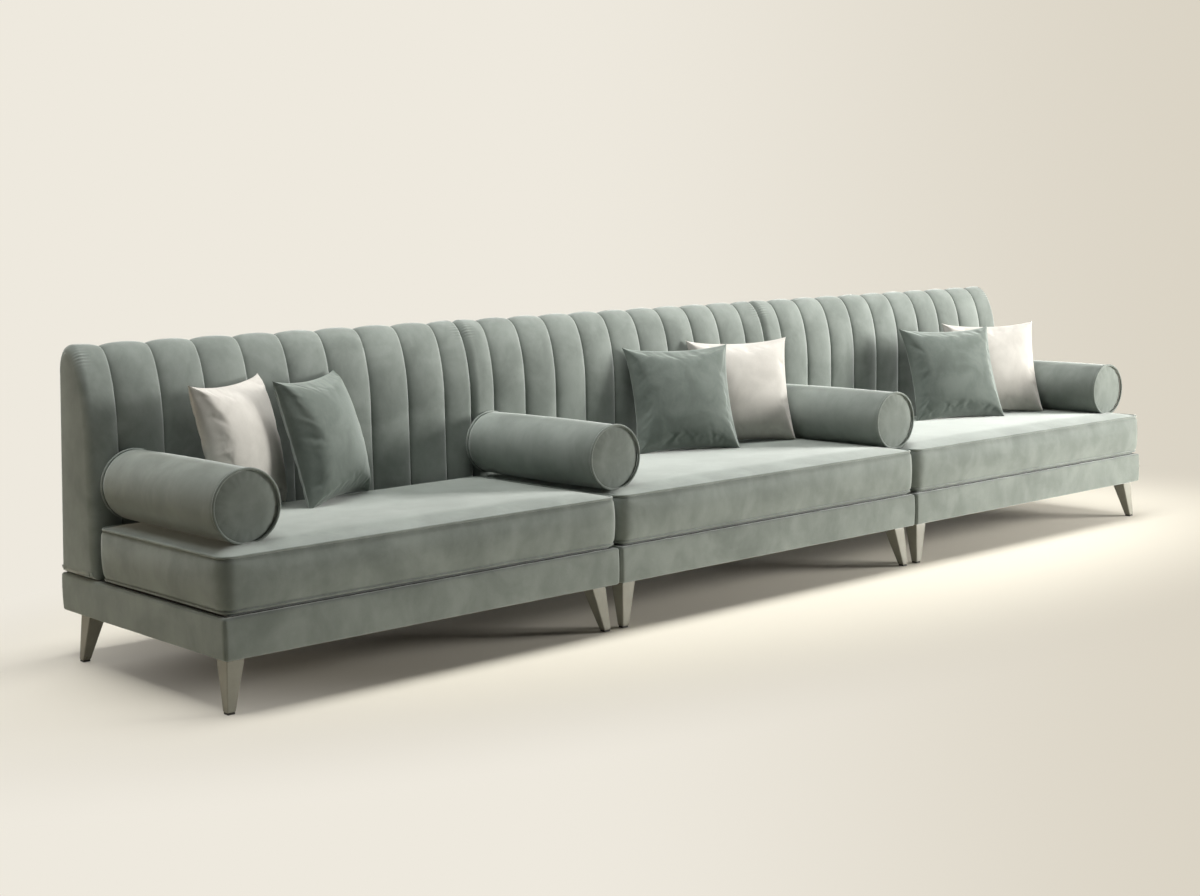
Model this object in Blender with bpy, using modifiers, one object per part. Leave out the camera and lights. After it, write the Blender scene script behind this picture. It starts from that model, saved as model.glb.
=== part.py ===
"""Modular majlis sofa: three upholstered modules in a row, with loose bolsters and pillows.

Metres, +Z up, the front faces -Y. The origin is on the floor under the middle of the row.
"""

import math
from dataclasses import dataclass

import bmesh
import bpy
from mathutils import Matrix, Vector
from mathutils.bvhtree import BVHTree

# Clearances
FIT_GAP = 0.0003
MODULE_GAP = 0.003
SEAT_GAP = 0.005
STUD_CLEARANCE = 0.0006
HOOK_CLEARANCE = 0.0008

# Modules
LEFT_LENGTH = 1.500
CENTRE_LENGTH = 1.555
RIGHT_LENGTH = 1.585
LEFT_CHANNELS = 10
CENTRE_CHANNELS = 11
RIGHT_CHANNELS = 11

# Plinth
BASE_HEIGHT = 0.1223
REAR_MARGIN = 0.007
COVER_THICKNESS = 0.018
COVER_ROUND = 0.014
RAIL_THICKNESS = 0.025
JOIST_COUNT = 3
DECK_THICKNESS = 0.009
DUST_THICKNESS = 0.0015
BLOCK_WALL = 0.026

# Legs and glides
LEG_HEIGHT = 0.151
LEG_TOP = 0.058
LEG_FOOT = 0.027
LEG_SPLAY = 0.010
LEG_ROUND = 0.003
LEG_INSET_LEFT = 0.010
LEG_INSET_RIGHT = 0.062
LEG_INSET_FRONT = 0.010
LEG_INSET_REAR = 0.116
STUD_RADIUS = 0.004
STUD_LENGTH = 0.045
STUD_ROOT = 0.012
GLIDE_THICKNESS = 0.006
GLIDE_MARGIN = 0.0015

# Seat cushion
SEAT_DEPTH = 0.754
SEAT_THICKNESS = 0.1697
SEAT_CROWN = 0.0193
SEAT_PLATEAU = 0.8
SEAT_PLATEAU_LENGTH = 0.6
SEAT_PLATEAU_DEPTH = 0.7
SEAT_ROUND = 0.038
SEAT_DRAW = 0.006

# Back
SEAT_BACK_GAP = 0.021
BACK_HEIGHT = 0.7300
BACK_THICKNESS = 0.235
BACK_SWEEP_HEIGHT = 0.275
BACK_CREST_SETBACK = 0.115
BACK_REAR_SHOULDER = 0.066
BACK_REAR_DROP = 0.095
BACK_FOOT_ROUND = 0.012
BACK_END_ROUND = 0.020
CHANNEL_DEPTH = 0.020
CREST_CHANNEL_DEPTH = 0.009
END_CHANNEL_SHARE = 0.72

# Timber ladder inside the back
LADDER_THICKNESS = 0.050
LADDER_RAIL = 0.060
LADDER_POSTS = 4
LADDER_REAR_FOAM = 0.022
LADDER_END_FOAM = 0.055
LADDER_TOP_FOAM = 0.075
TENON_WIDTH = 0.060
TENON_DEPTH = 0.090

# Joining hooks under the plinth
HOOK_WIDTH = 0.045
HOOK_THICKNESS = 0.003
HOOK_ROOT = 0.070
HOOK_REACH = 0.042
HOOK_TAPER = 0.008
RECEIVER_LENGTH = 0.036
RECEIVER_SETBACK = 0.008
RECEIVER_WALL = 0.003
RECEIVER_FLANGE = 0.018

# Bolsters
BOLSTER_RADIUS = 0.109
BOLSTER_LENGTH = 0.680
BOLSTER_BEAD = 0.0045
BOLSTER_SWELL = 0.003
BOLSTER_DISH = 0.006
BOLSTER_BACK_GAP = 0.003
BOLSTER_SIDES = 18
BOLSTER_LEFT_INSET = 0.1475
BOLSTER_RIGHT_INSET = 0.125
BOLSTER_FIRST_JOIN_OFFSET = 0.067
BOLSTER_SECOND_JOIN_OFFSET = -0.012

# Pillows
PILLOW_SIZE = 0.420
PILLOW_THICKNESS = 0.120
PILLOW_DRAW = 0.016
PILLOW_SEGMENTS = 8

# Where each pillow stands: module, finish, the end of the module that it is placed from (-1 left,
# 1 right), distance of its middle from that end and from the front of the plinth, turn about the
# vertical and lean towards the back, in degrees
PILLOWS = (
    ("left", "cream", -1, 0.450, 0.648, 29.0, 11.0),
    ("left", "sage", -1, 0.751, 0.627, 28.5, 15.5),
    ("centre", "cream", 1, 0.306, 0.646, -24.0, 14.5),
    ("centre", "sage", 1, 0.653, 0.632, -24.0, 19.5),
    ("right", "cream", 1, 0.413, 0.507, -32.0, 19.5),
    ("right", "sage", 1, 0.700, 0.512, -25.0, 23.0),
)

# Derived planes
BACK_FRONT = SEAT_DEPTH + SEAT_BACK_GAP
BASE_DEPTH = BACK_FRONT + BACK_THICKNESS + REAR_MARGIN
FRONT_Y = -BASE_DEPTH / 2
BASE_TOP = LEG_HEIGHT + BASE_HEIGHT
FRAME_INSET = COVER_THICKNESS + FIT_GAP
FRAME_BOTTOM = LEG_HEIGHT + DUST_THICKNESS + 2 * FIT_GAP
FRAME_TOP = BASE_TOP - DECK_THICKNESS - FIT_GAP
CREST_Y = BACK_FRONT + BACK_CREST_SETBACK
REAR_TOP_Y = CREST_Y + BACK_REAR_SHOULDER
BACK_TOP = BASE_TOP + BACK_HEIGHT
LADDER_REAR = REAR_TOP_Y - LADDER_REAR_FOAM
LADDER_FRONT = LADDER_REAR - LADDER_THICKNESS
LADDER_TOP = BACK_TOP - LADDER_TOP_FOAM

COLOURS = {
    "velvet": ((0.235, 0.275, 0.245), 0.75, 0.0),
    "cream": ((0.680, 0.630, 0.580), 0.80, 0.0),
    "paint": ((0.270, 0.270, 0.225), 0.50, 0.0),
    "glide": ((0.020, 0.020, 0.020), 0.60, 0.0),
    "timber": ((0.550, 0.390, 0.230), 0.65, 0.0),
    "board": ((0.480, 0.360, 0.230), 0.70, 0.0),
    "dust": ((0.030, 0.030, 0.030), 0.90, 0.0),
    "steel": ((0.420, 0.420, 0.430), 0.35, 1.0),
}


def make_materials():
    """Principled materials, one for each finish."""
    made = {}
    for name, (colour, roughness, metallic) in COLOURS.items():
        material = bpy.data.materials.new(name)
        material.use_nodes = True
        shader = material.node_tree.nodes["Principled BSDF"]
        shader.inputs["Base Color"].default_value = (*colour, 1.0)
        shader.inputs["Roughness"].default_value = roughness
        shader.inputs["Metallic"].default_value = metallic
        made[name] = material
    return made


@dataclass(frozen=True)
class Module:
    """One sofa module: its name, its place along the row and its length."""

    name: str
    middle: float
    length: float
    channels: int

    @property
    def half(self):
        """Half the length of the plinth, less the gap to its neighbour."""
        return (self.length - MODULE_GAP) / 2


def make_modules():
    """The three modules, laid end to end about the middle of the row."""
    start = -(LEFT_LENGTH + CENTRE_LENGTH + RIGHT_LENGTH) / 2
    modules = []
    for name, length, channels in (
        ("left", LEFT_LENGTH, LEFT_CHANNELS),
        ("centre", CENTRE_LENGTH, CENTRE_CHANNELS),
        ("right", RIGHT_LENGTH, RIGHT_CHANNELS),
    ):
        modules.append(Module(name, start + length / 2, length, channels))
        start += length
    return modules


def depth(distance):
    """Row Y of a plane that lies this far behind the plinth's front."""
    return FRONT_Y + distance


class Workshop:
    """Adds named pieces and hidden cutters to their collections."""

    def __init__(self):
        self.pieces = bpy.data.collections.new("modular_majlis_sofa")
        self.cutters = bpy.data.collections.new("cutters")
        bpy.context.scene.collection.children.link(self.pieces)
        bpy.context.scene.collection.children.link(self.cutters)
        self.materials = make_materials()

    def empty(self, name, location, parent=None):
        """An empty that carries a module or a loose piece."""
        holder = bpy.data.objects.new(name, None)
        holder.location = location
        holder.parent = parent
        self.pieces.objects.link(holder)
        return holder

    def add(self, name, bm, finish, parent, smooth=False):
        """A finished piece from a bmesh."""
        mesh = bpy.data.meshes.new(name)
        bm.to_mesh(mesh)
        bm.free()
        mesh.materials.append(self.materials[finish])
        if smooth:
            mesh.shade_smooth()
            mesh.set_sharp_from_angle(angle=math.radians(50))
        piece = bpy.data.objects.new(name, mesh)
        piece.parent = parent
        self.pieces.objects.link(piece)
        return piece

    def cutter(self, name, bm, parent):
        """A hidden solid that cuts or joins another piece."""
        mesh = bpy.data.meshes.new(name)
        bm.to_mesh(mesh)
        bm.free()
        tool = bpy.data.objects.new(name, mesh)
        tool.parent = parent
        tool.hide_render = True
        tool.display_type = "WIRE"
        self.cutters.objects.link(tool)
        return tool


def add_box(bm, low, high):
    """Adds a box between two corners and returns its vertices."""
    size = Vector(high) - Vector(low)
    middle = (Vector(high) + Vector(low)) / 2
    matrix = Matrix.Translation(middle) @ Matrix.Diagonal((*size, 1.0))
    return bmesh.ops.create_cube(bm, size=1.0, matrix=matrix)["verts"]


def box(low, high):
    """A bmesh that holds one box."""
    bm = bmesh.new()
    add_box(bm, low, high)
    return bm


def boolean(piece, tool, operation):
    """Cuts or joins a piece with a hidden solid."""
    modifier = piece.modifiers.new(tool.name, "BOOLEAN")
    modifier.operation = operation
    modifier.object = tool
    modifier.solver = "EXACT"


def bevel(piece, width, segments):
    """Rounds every edge of a piece."""
    modifier = piece.modifiers.new("round", "BEVEL")
    modifier.width = width
    modifier.segments = segments
    modifier.limit_method = "ANGLE"


def leg_places(module):
    """Name, outward direction and stud centre of each leg, in the module's frame."""
    half = module.half
    sides = (
        ("left", -1, -half + LEG_INSET_LEFT + LEG_TOP / 2),
        ("right", 1, half - LEG_INSET_RIGHT - LEG_TOP / 2),
    )
    ends = (
        ("front", -1, FRONT_Y + LEG_INSET_FRONT + LEG_TOP / 2),
        ("rear", 1, -FRONT_Y - LEG_INSET_REAR - LEG_TOP / 2),
    )
    places = []
    for end_name, end, y in ends:
        for side_name, side, x in sides:
            places.append((f"{end_name}_{side_name}", side, end, x, y))
    return places


def joist_places(module):
    """Middle of each cross joist along the module."""
    inner = 2 * (module.half - FRAME_INSET) - RAIL_THICKNESS
    step = inner / (JOIST_COUNT + 1)
    return [-inner / 2 + step * (index + 1) for index in range(JOIST_COUNT)]


def build_plinth(shop, module, holder):
    """Timber frame, padded wrap, deck and dust cover of one module."""
    name = module.name
    half = module.half
    inner = half - FRAME_INSET
    front = FRONT_Y + FRAME_INSET
    rear = -FRONT_Y - FRAME_INSET
    support = depth(LADDER_FRONT) - FIT_GAP

    cover = shop.add(
        f"{name}_base_cover",
        box((-half, FRONT_Y, LEG_HEIGHT), (half, -FRONT_Y, BASE_TOP)),
        "velvet",
        holder,
    )
    bevel(cover, COVER_ROUND, 3)
    hollow = box(
        (-half + COVER_THICKNESS, FRONT_Y + COVER_THICKNESS, LEG_HEIGHT - BASE_HEIGHT),
        (half - COVER_THICKNESS, -FRONT_Y - COVER_THICKNESS, BASE_TOP + BASE_HEIGHT),
    )
    boolean(cover, shop.cutter(f"{name}_cover_hollow", hollow, holder), "DIFFERENCE")

    frame = shop.add(
        f"{name}_base_frame",
        box((-inner, front, FRAME_BOTTOM), (inner, rear, FRAME_TOP)),
        "timber",
        holder,
    )
    middle = (front + support) / 2
    rows = (
        (front + RAIL_THICKNESS, middle - RAIL_THICKNESS / 2),
        (middle + RAIL_THICKNESS / 2, support - RAIL_THICKNESS),
        (support, rear - RAIL_THICKNESS),
    )
    lines = [-inner + RAIL_THICKNESS / 2, *joist_places(module), inner - RAIL_THICKNESS / 2]
    bays = bmesh.new()
    for left, right in zip(lines[:-1], lines[1:]):
        for low, high in rows:
            add_box(
                bays,
                (left + RAIL_THICKNESS / 2, low, FRAME_BOTTOM - BASE_HEIGHT),
                (right - RAIL_THICKNESS / 2, high, FRAME_TOP + BASE_HEIGHT),
            )
    boolean(frame, shop.cutter(f"{name}_bays", bays, holder), "DIFFERENCE")

    blocks = bmesh.new()
    holes = bmesh.new()
    reach = BLOCK_WALL + STUD_RADIUS
    for place, side, end, x, y in leg_places(module):
        low_x = max(x - reach, -inner)
        high_x = min(x + reach, inner)
        low_y = max(y - reach, front)
        high_y = min(y + reach, rear)
        add_box(blocks, (low_x, low_y, FRAME_BOTTOM), (high_x, high_y, FRAME_TOP))
        bmesh.ops.create_cone(
            holes,
            cap_ends=True,
            segments=8,
            radius1=STUD_RADIUS + STUD_CLEARANCE,
            radius2=STUD_RADIUS + STUD_CLEARANCE,
            depth=2 * STUD_LENGTH,
            matrix=Matrix.Translation((x, y, LEG_HEIGHT + STUD_CLEARANCE)),
        )
    boolean(frame, shop.cutter(f"{name}_blocks", blocks, holder), "UNION")
    stud_holes = shop.cutter(f"{name}_stud_holes", holes, holder)
    boolean(frame, stud_holes, "DIFFERENCE")

    shop.add(
        f"{name}_seat_deck",
        box((-inner, front, BASE_TOP - DECK_THICKNESS), (inner, support, BASE_TOP)),
        "board",
        holder,
    )
    dust = shop.add(
        f"{name}_dust_cover",
        box(
            (-inner, front, LEG_HEIGHT + FIT_GAP),
            (inner, rear, LEG_HEIGHT + FIT_GAP + DUST_THICKNESS),
        ),
        "dust",
        holder,
    )
    boolean(dust, stud_holes, "DIFFERENCE")


def build_legs(shop, module, holder):
    """Four tapered legs with their hanger bolts, and a glide under each."""
    name = module.name
    foot_shift = LEG_TOP / 2 + LEG_SPLAY - LEG_FOOT / 2
    foot_z = GLIDE_THICKNESS + FIT_GAP - LEG_HEIGHT
    for place, side, end, x, y in leg_places(module):
        bm = bmesh.new()
        half = LEG_TOP / 2
        verts = add_box(bm, (-half, -half, foot_z), (half, half, -FIT_GAP))
        for vert in verts:
            if vert.co.z < foot_z / 2:
                vert.co.x = vert.co.x * LEG_FOOT / LEG_TOP + side * foot_shift
                vert.co.y = vert.co.y * LEG_FOOT / LEG_TOP + end * foot_shift
        leg = shop.add(f"{name}_leg_{place}", bm, "paint", holder)
        leg.location = (x, y, LEG_HEIGHT)
        bevel(leg, LEG_ROUND, 2)
        stud = bmesh.new()
        bmesh.ops.create_cone(
            stud,
            cap_ends=True,
            segments=8,
            radius1=STUD_RADIUS,
            radius2=STUD_RADIUS,
            depth=STUD_LENGTH + STUD_ROOT,
            matrix=Matrix.Translation((0, 0, (STUD_LENGTH - STUD_ROOT) / 2)),
        )
        boolean(leg, shop.cutter(f"{name}_stud_{place}", stud, leg), "UNION")

        size = LEG_FOOT / 2 - GLIDE_MARGIN
        glide = shop.add(
            f"{name}_glide_{place}",
            box((-size, -size, 0), (size, size, GLIDE_THICKNESS)),
            "glide",
            holder,
        )
        glide.location = (x + side * foot_shift, y + end * foot_shift, 0)
        bevel(glide, GLIDE_THICKNESS / 5, 1)


def build_seat(shop, module, holder):
    """Mattress-like cushion: a coarse cage with drawn-in sides and a top that rises to a level middle."""
    half = (module.length - SEAT_GAP) / 2
    low_y = FRONT_Y
    high_y = FRONT_Y + SEAT_DEPTH
    middle_y = (low_y + high_y) / 2
    low_z = BASE_TOP + FIT_GAP
    high_z = BASE_TOP + SEAT_THICKNESS
    bm = box((-half, low_y, low_z), (half, high_y, high_z))
    level_x = SEAT_PLATEAU_LENGTH * half
    level_y = SEAT_PLATEAU_DEPTH * SEAT_DEPTH / 2
    loops = (
        (Vector((1, 0, 0)), (-half + SEAT_ROUND, -level_x, 0, level_x, half - SEAT_ROUND)),
        (
            Vector((0, 1, 0)),
            (low_y + SEAT_ROUND, middle_y - level_y, middle_y, middle_y + level_y, high_y - SEAT_ROUND),
        ),
        (Vector((0, 0, 1)), (low_z + SEAT_ROUND / 2, high_z - SEAT_ROUND / 2)),
    )
    for normal, offsets in loops:
        for offset in offsets:
            geometry = bm.verts[:] + bm.edges[:] + bm.faces[:]
            bmesh.ops.bisect_plane(bm, geom=geometry, plane_co=normal * offset, plane_no=normal)
    for vert in bm.verts:
        across = 1 - (vert.co.x / half) ** 2
        along = 1 - ((vert.co.y - middle_y) / (SEAT_DEPTH / 2)) ** 2
        if vert.co.z > high_z - FIT_GAP:
            rise = [min(max(share, 0) ** 0.25 / SEAT_PLATEAU, 1) for share in (across, along)]
            vert.co.z += SEAT_CROWN * max(sum(rise) - 1, 0)
        if abs(vert.co.x) > half - FIT_GAP:
            vert.co.x -= math.copysign(SEAT_DRAW * along, vert.co.x)
        if abs(vert.co.y - middle_y) > SEAT_DEPTH / 2 - FIT_GAP:
            vert.co.y -= math.copysign(SEAT_DRAW * across, vert.co.y - middle_y)
    seat = shop.add(f"{module.name}_seat_cushion", bm, "velvet", holder, smooth=True)
    rounding = seat.modifiers.new("soft", "SUBSURF")
    rounding.levels = 1
    rounding.render_levels = 1
    seat.modifiers.new("facets", "TRIANGULATE")
    return seat


def back_profile():
    """Section of the back: (distance from the front, height, inward direction, depth of the channels).

    The front rises straight, sweeps back over a quarter ellipse to the crest and turns down over
    a tighter quarter ellipse into the sloping rear.
    """
    sweep_z = BACK_TOP - BACK_SWEEP_HEIGHT
    drop_z = BACK_TOP - BACK_REAR_DROP
    rear_foot = BACK_FRONT + BACK_THICKNESS
    bottom = BASE_TOP + FIT_GAP
    points = [
        (BACK_FRONT + BACK_FOOT_ROUND, bottom, (0.6, 0.8), CHANNEL_DEPTH),
        (BACK_FRONT, bottom + BACK_FOOT_ROUND, (1, 0), CHANNEL_DEPTH),
    ]
    for step in range(7):
        angle = math.radians(15 * step)
        y = CREST_Y - BACK_CREST_SETBACK * math.cos(angle)
        z = sweep_z + BACK_SWEEP_HEIGHT * math.sin(angle)
        inward = Vector((math.cos(angle) / BACK_CREST_SETBACK, -math.sin(angle) / BACK_SWEEP_HEIGHT))
        sunk = CHANNEL_DEPTH + (CREST_CHANNEL_DEPTH - CHANNEL_DEPTH) * math.sin(angle) ** 2
        points.append((y, z, tuple(inward.normalized()), sunk))
    for step in range(1, 4):
        angle = math.radians(30 * step)
        y = CREST_Y + BACK_REAR_SHOULDER * math.sin(angle)
        z = drop_z + BACK_REAR_DROP * math.cos(angle)
        inward = Vector((-math.sin(angle) / BACK_REAR_SHOULDER, -math.cos(angle) / BACK_REAR_DROP))
        points.append((y, z, tuple(inward.normalized()), CREST_CHANNEL_DEPTH * (1 - step / 3)))
    points.append((rear_foot, bottom + BACK_FOOT_ROUND, (-1, 0), 0.0))
    points.append((rear_foot - BACK_FOOT_ROUND, bottom, (-0.6, 0.8), 0.0))
    return points


def back_stations(module):
    """Stations along the module: (x, channel recess from 0 to 1, rounding of the end)."""
    half = module.half
    pitch = 2 * half / (module.channels - 2 + 2 * END_CHANNEL_SHARE)
    first = -half + END_CHANNEL_SHARE * pitch
    seams = [first + pitch * index for index in range(module.channels - 1)]
    stations = []
    for share in (0.0, 0.3, 1.0):
        stations.append((-half + BACK_END_ROUND * share, 0.0, 1 - math.sqrt(share * (2 - share))))
    for index, seam in enumerate(seams):
        for phase in (-0.5, -0.16, 0.0, 0.16):
            x = seam + phase * pitch
            if x > -half + BACK_END_ROUND * 1.5:
                stations.append((x, (1 - 2 * abs(phase)) ** 2, 0.0))
    last = seams[-1] + pitch / 2
    if last < half - BACK_END_ROUND * 1.5:
        stations.append((last, 0.0, 0.0))
    for share in (1.0, 0.3, 0.0):
        stations.append((half - BACK_END_ROUND * share, 0.0, 1 - math.sqrt(share * (2 - share))))
    return stations


def build_back(shop, module, holder):
    """Timber ladder with tenons into the plinth, inside a channelled padded shell."""
    name = module.name
    half = module.half - LADDER_END_FOAM
    front = depth(LADDER_FRONT)
    rear = depth(LADDER_REAR)
    tenon_foot = BASE_TOP - TENON_DEPTH
    sill = BASE_TOP + FIT_GAP
    ladder = shop.add(
        f"{name}_back_frame",
        box((-half, front, tenon_foot), (half, rear, LADDER_TOP)),
        "timber",
        holder,
    )
    cuts = bmesh.new()
    step = (2 * half - LADDER_RAIL) / (LADDER_POSTS - 1)
    mid_rail = (sill + LADDER_TOP) / 2
    for index in range(LADDER_POSTS - 1):
        left = -half + LADDER_RAIL + index * step
        right = left + step - LADDER_RAIL
        for low, high in (
            (sill + LADDER_RAIL, mid_rail - LADDER_RAIL / 2),
            (mid_rail + LADDER_RAIL / 2, LADDER_TOP - LADDER_RAIL),
        ):
            add_box(cuts, (left, front - LADDER_RAIL, low), (right, rear + LADDER_RAIL, high))
    joists = joist_places(module)
    bay = joists[1] - joists[0]
    tenons = [joists[0] - bay / 2] + [joist + bay / 2 for joist in joists]
    edges = [-half - LADDER_RAIL]
    for tenon in tenons:
        edges += [tenon - TENON_WIDTH / 2, tenon + TENON_WIDTH / 2]
    edges.append(half + LADDER_RAIL)
    for left, right in zip(edges[0::2], edges[1::2]):
        add_box(
            cuts,
            (left, front - LADDER_RAIL, tenon_foot - LADDER_RAIL),
            (right, rear + LADDER_RAIL, sill),
        )
    boolean(ladder, shop.cutter(f"{name}_ladder_cuts", cuts, holder), "DIFFERENCE")

    profile = back_profile()
    bm = bmesh.new()
    rings = []
    for x, recess, rounding in back_stations(module):
        ring = []
        for y, z, inward, channel in profile:
            sink = channel * recess + BACK_END_ROUND * rounding
            ring.append(bm.verts.new((x, depth(y + inward[0] * sink), z + inward[1] * sink)))
        rings.append(ring)
    for near, far in zip(rings[:-1], rings[1:]):
        for index in range(len(profile)):
            after = (index + 1) % len(profile)
            bm.faces.new((near[index], far[index], far[after], near[after]))
    bm.faces.new(rings[0])
    bm.faces.new(rings[-1])
    bmesh.ops.recalc_face_normals(bm, faces=bm.faces[:])
    pad = shop.add(f"{name}_back_pad", bm, "velvet", holder, smooth=True)
    pocket = box(
        (-half - FIT_GAP, front - FIT_GAP, BASE_TOP - LADDER_RAIL),
        (half + FIT_GAP, rear + FIT_GAP, LADDER_TOP + FIT_GAP),
    )
    boolean(pad, shop.cutter(f"{name}_back_pocket", pocket, holder), "DIFFERENCE")
    return pad


def prism(outline, thickness):
    """An outline in the XY plane raised by a thickness."""
    bm = bmesh.new()
    face = bm.faces.new([bm.verts.new((x, y, 0)) for x, y in outline])
    raised = bmesh.ops.extrude_face_region(bm, geom=[face])["geom"]
    verts = [item for item in raised if isinstance(item, bmesh.types.BMVert)]
    bmesh.ops.translate(bm, vec=(0, 0, thickness), verts=verts)
    bmesh.ops.recalc_face_normals(bm, faces=bm.faces[:])
    return bm


def build_hook(shop, module, holder):
    """Steel tongue under the right-hand end of a module, reaching under its neighbour."""
    half = HOOK_WIDTH / 2
    outline = (
        (-HOOK_ROOT, -half),
        (HOOK_REACH - HOOK_TAPER, -half),
        (HOOK_REACH, -half + HOOK_TAPER),
        (HOOK_REACH, half - HOOK_TAPER),
        (HOOK_REACH - HOOK_TAPER, half),
        (-HOOK_ROOT, half),
    )
    hook = shop.add(f"{module.name}_hook", prism(outline, HOOK_THICKNESS), "steel", holder)
    hook.location = (module.length / 2, 0, LEG_HEIGHT - FIT_GAP - HOOK_THICKNESS)


def build_receiver(shop, module, holder):
    """Steel strap under the left-hand end of a module, with a channel for the tongue."""
    slot_half = HOOK_WIDTH / 2 + HOOK_CLEARANCE
    wall_half = slot_half + RECEIVER_WALL
    flange_half = wall_half + RECEIVER_FLANGE
    slot = HOOK_THICKNESS + HOOK_CLEARANCE
    drop = slot + RECEIVER_WALL
    outline = (
        (-flange_half, 0),
        (-slot_half, 0),
        (-slot_half, -slot),
        (slot_half, -slot),
        (slot_half, 0),
        (flange_half, 0),
        (flange_half, -RECEIVER_WALL),
        (wall_half, -RECEIVER_WALL),
        (wall_half, -drop),
        (-wall_half, -drop),
        (-wall_half, -RECEIVER_WALL),
        (-flange_half, -RECEIVER_WALL),
    )
    strap = shop.add(f"{module.name}_receiver", prism(outline, RECEIVER_LENGTH), "steel", holder)
    strap.rotation_euler = (math.radians(90), 0, math.radians(90))
    start = RECEIVER_SETBACK - module.half
    strap.location = (start, 0, LEG_HEIGHT - FIT_GAP)


def world_mesh(piece):
    """World points, edges and faces of a piece with its modifiers."""
    bpy.context.view_layer.update()
    graph = bpy.context.evaluated_depsgraph_get()
    shown = piece.evaluated_get(graph)
    mesh = shown.to_mesh()
    points = [piece.matrix_world @ vert.co for vert in mesh.vertices]
    edges = [tuple(edge.vertices) for edge in mesh.edges]
    faces = [tuple(face.vertices) for face in mesh.polygons]
    shown.to_mesh_clear()
    return points, edges, faces


def least_drop(points, edges, tree, direction):
    """Shortest way from any point along the edges to a surface, in one direction."""
    least = math.inf
    for start, end in edges:
        for share in (0.0, 0.1, 0.2, 0.3, 0.4, 0.5, 0.6, 0.7, 0.8, 0.9, 1.0):
            point = points[start].lerp(points[end], share)
            distance = tree.ray_cast(point - direction, direction)[3]
            if distance is not None:
                least = min(least, distance - 1.0)
    return least


def settle(piece, carriers):
    """Lowers a loose piece until it lies one fit gap above the cushions that carry it."""
    points, edges, faces = world_mesh(piece)
    above = BVHTree.FromPolygons(points, faces)
    lowest = min(point.z for point in points)
    near = [edge for edge in edges if min(points[edge[0]].z, points[edge[1]].z) < lowest + BOLSTER_RADIUS]
    drop = math.inf
    for carrier in carriers:
        below_points, below_edges, below_faces = world_mesh(carrier)
        below = BVHTree.FromPolygons(below_points, below_faces)
        down = least_drop(points, near, below, Vector((0, 0, -1)))
        up = least_drop(below_points, below_edges, above, Vector((0, 0, 1)))
        drop = min(drop, down, up)
    piece.location.z -= drop - FIT_GAP


def build_bolster(shop, name, holder, x, seats):
    """Round bolster: a turned profile with a bead around each slightly dished end."""
    half = BOLSTER_LENGTH / 2
    bead = BOLSTER_RADIUS - BOLSTER_SWELL
    upper = [
        (0.0, half),
        (bead - 2 * BOLSTER_BEAD, half - BOLSTER_DISH),
        (bead - BOLSTER_BEAD / 2, half - BOLSTER_DISH / 2),
        (bead, half - BOLSTER_DISH - BOLSTER_BEAD / 2),
        (bead - BOLSTER_BEAD, half - BOLSTER_DISH - 2 * BOLSTER_BEAD),
    ]
    points = upper + [(BOLSTER_RADIUS, 0.0)] + [(radius, -z) for radius, z in reversed(upper)]
    bm = bmesh.new()
    verts = [bm.verts.new((radius, 0, z)) for radius, z in points]
    for first, second in zip(verts[:-1], verts[1:]):
        bm.edges.new((first, second))
    bolster = shop.add(name, bm, "velvet", holder)
    turn = bolster.modifiers.new("turn", "SCREW")
    turn.axis = "Z"
    turn.angle = 2 * math.pi
    turn.steps = BOLSTER_SIDES
    turn.render_steps = BOLSTER_SIDES
    turn.use_merge_vertices = True
    turn.merge_threshold = 0.00001
    turn.use_smooth_shade = True
    bolster.rotation_euler = (math.radians(90), 0, 0)
    middle = BACK_FRONT - BOLSTER_BACK_GAP - half
    bolster.location = (x, depth(middle), BASE_TOP + SEAT_THICKNESS + 2 * BOLSTER_RADIUS)
    settle(bolster, seats)


def build_pillow(shop, name, finish, holder, place, turn, lean, seat):
    """Square pillow: two domed sheets that meet in a seam, with edges drawn in between the corners."""
    half = PILLOW_SIZE / 2
    bm = bmesh.new()
    for side in (-1, 1):
        sheet = bmesh.ops.create_grid(bm, x_segments=PILLOW_SEGMENTS, y_segments=PILLOW_SEGMENTS, size=1)
        for tip in [vert for vert in sheet["verts"] if len(vert.link_faces) == 1]:
            corner = tip.link_loops[0]
            bmesh.utils.face_split(corner.face, tip, corner.link_loop_next.link_loop_next.vert)
        for vert in sheet["verts"]:
            u = math.sin(math.pi / 2 * vert.co.x)
            v = math.sin(math.pi / 2 * vert.co.y)
            dome = math.sqrt(max(1 - u * u, 0) * max(1 - v * v, 0))
            vert.co = (
                u * (half - PILLOW_DRAW * (1 - v * v)),
                side * PILLOW_THICKNESS / 2 * dome,
                v * (half - PILLOW_DRAW * (1 - u * u)),
            )
        if side > 0:
            rear = {face for vert in sheet["verts"] for face in vert.link_faces}
            bmesh.ops.reverse_faces(bm, faces=list(rear))
    bmesh.ops.remove_doubles(bm, verts=bm.verts[:], dist=0.00001)
    pillow = shop.add(name, bm, finish, holder, smooth=True)
    pillow.rotation_euler = (math.radians(-lean), 0, math.radians(turn))
    pillow.location = (*place, BASE_TOP + SEAT_THICKNESS + PILLOW_SIZE)
    settle(pillow, [seat])


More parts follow.
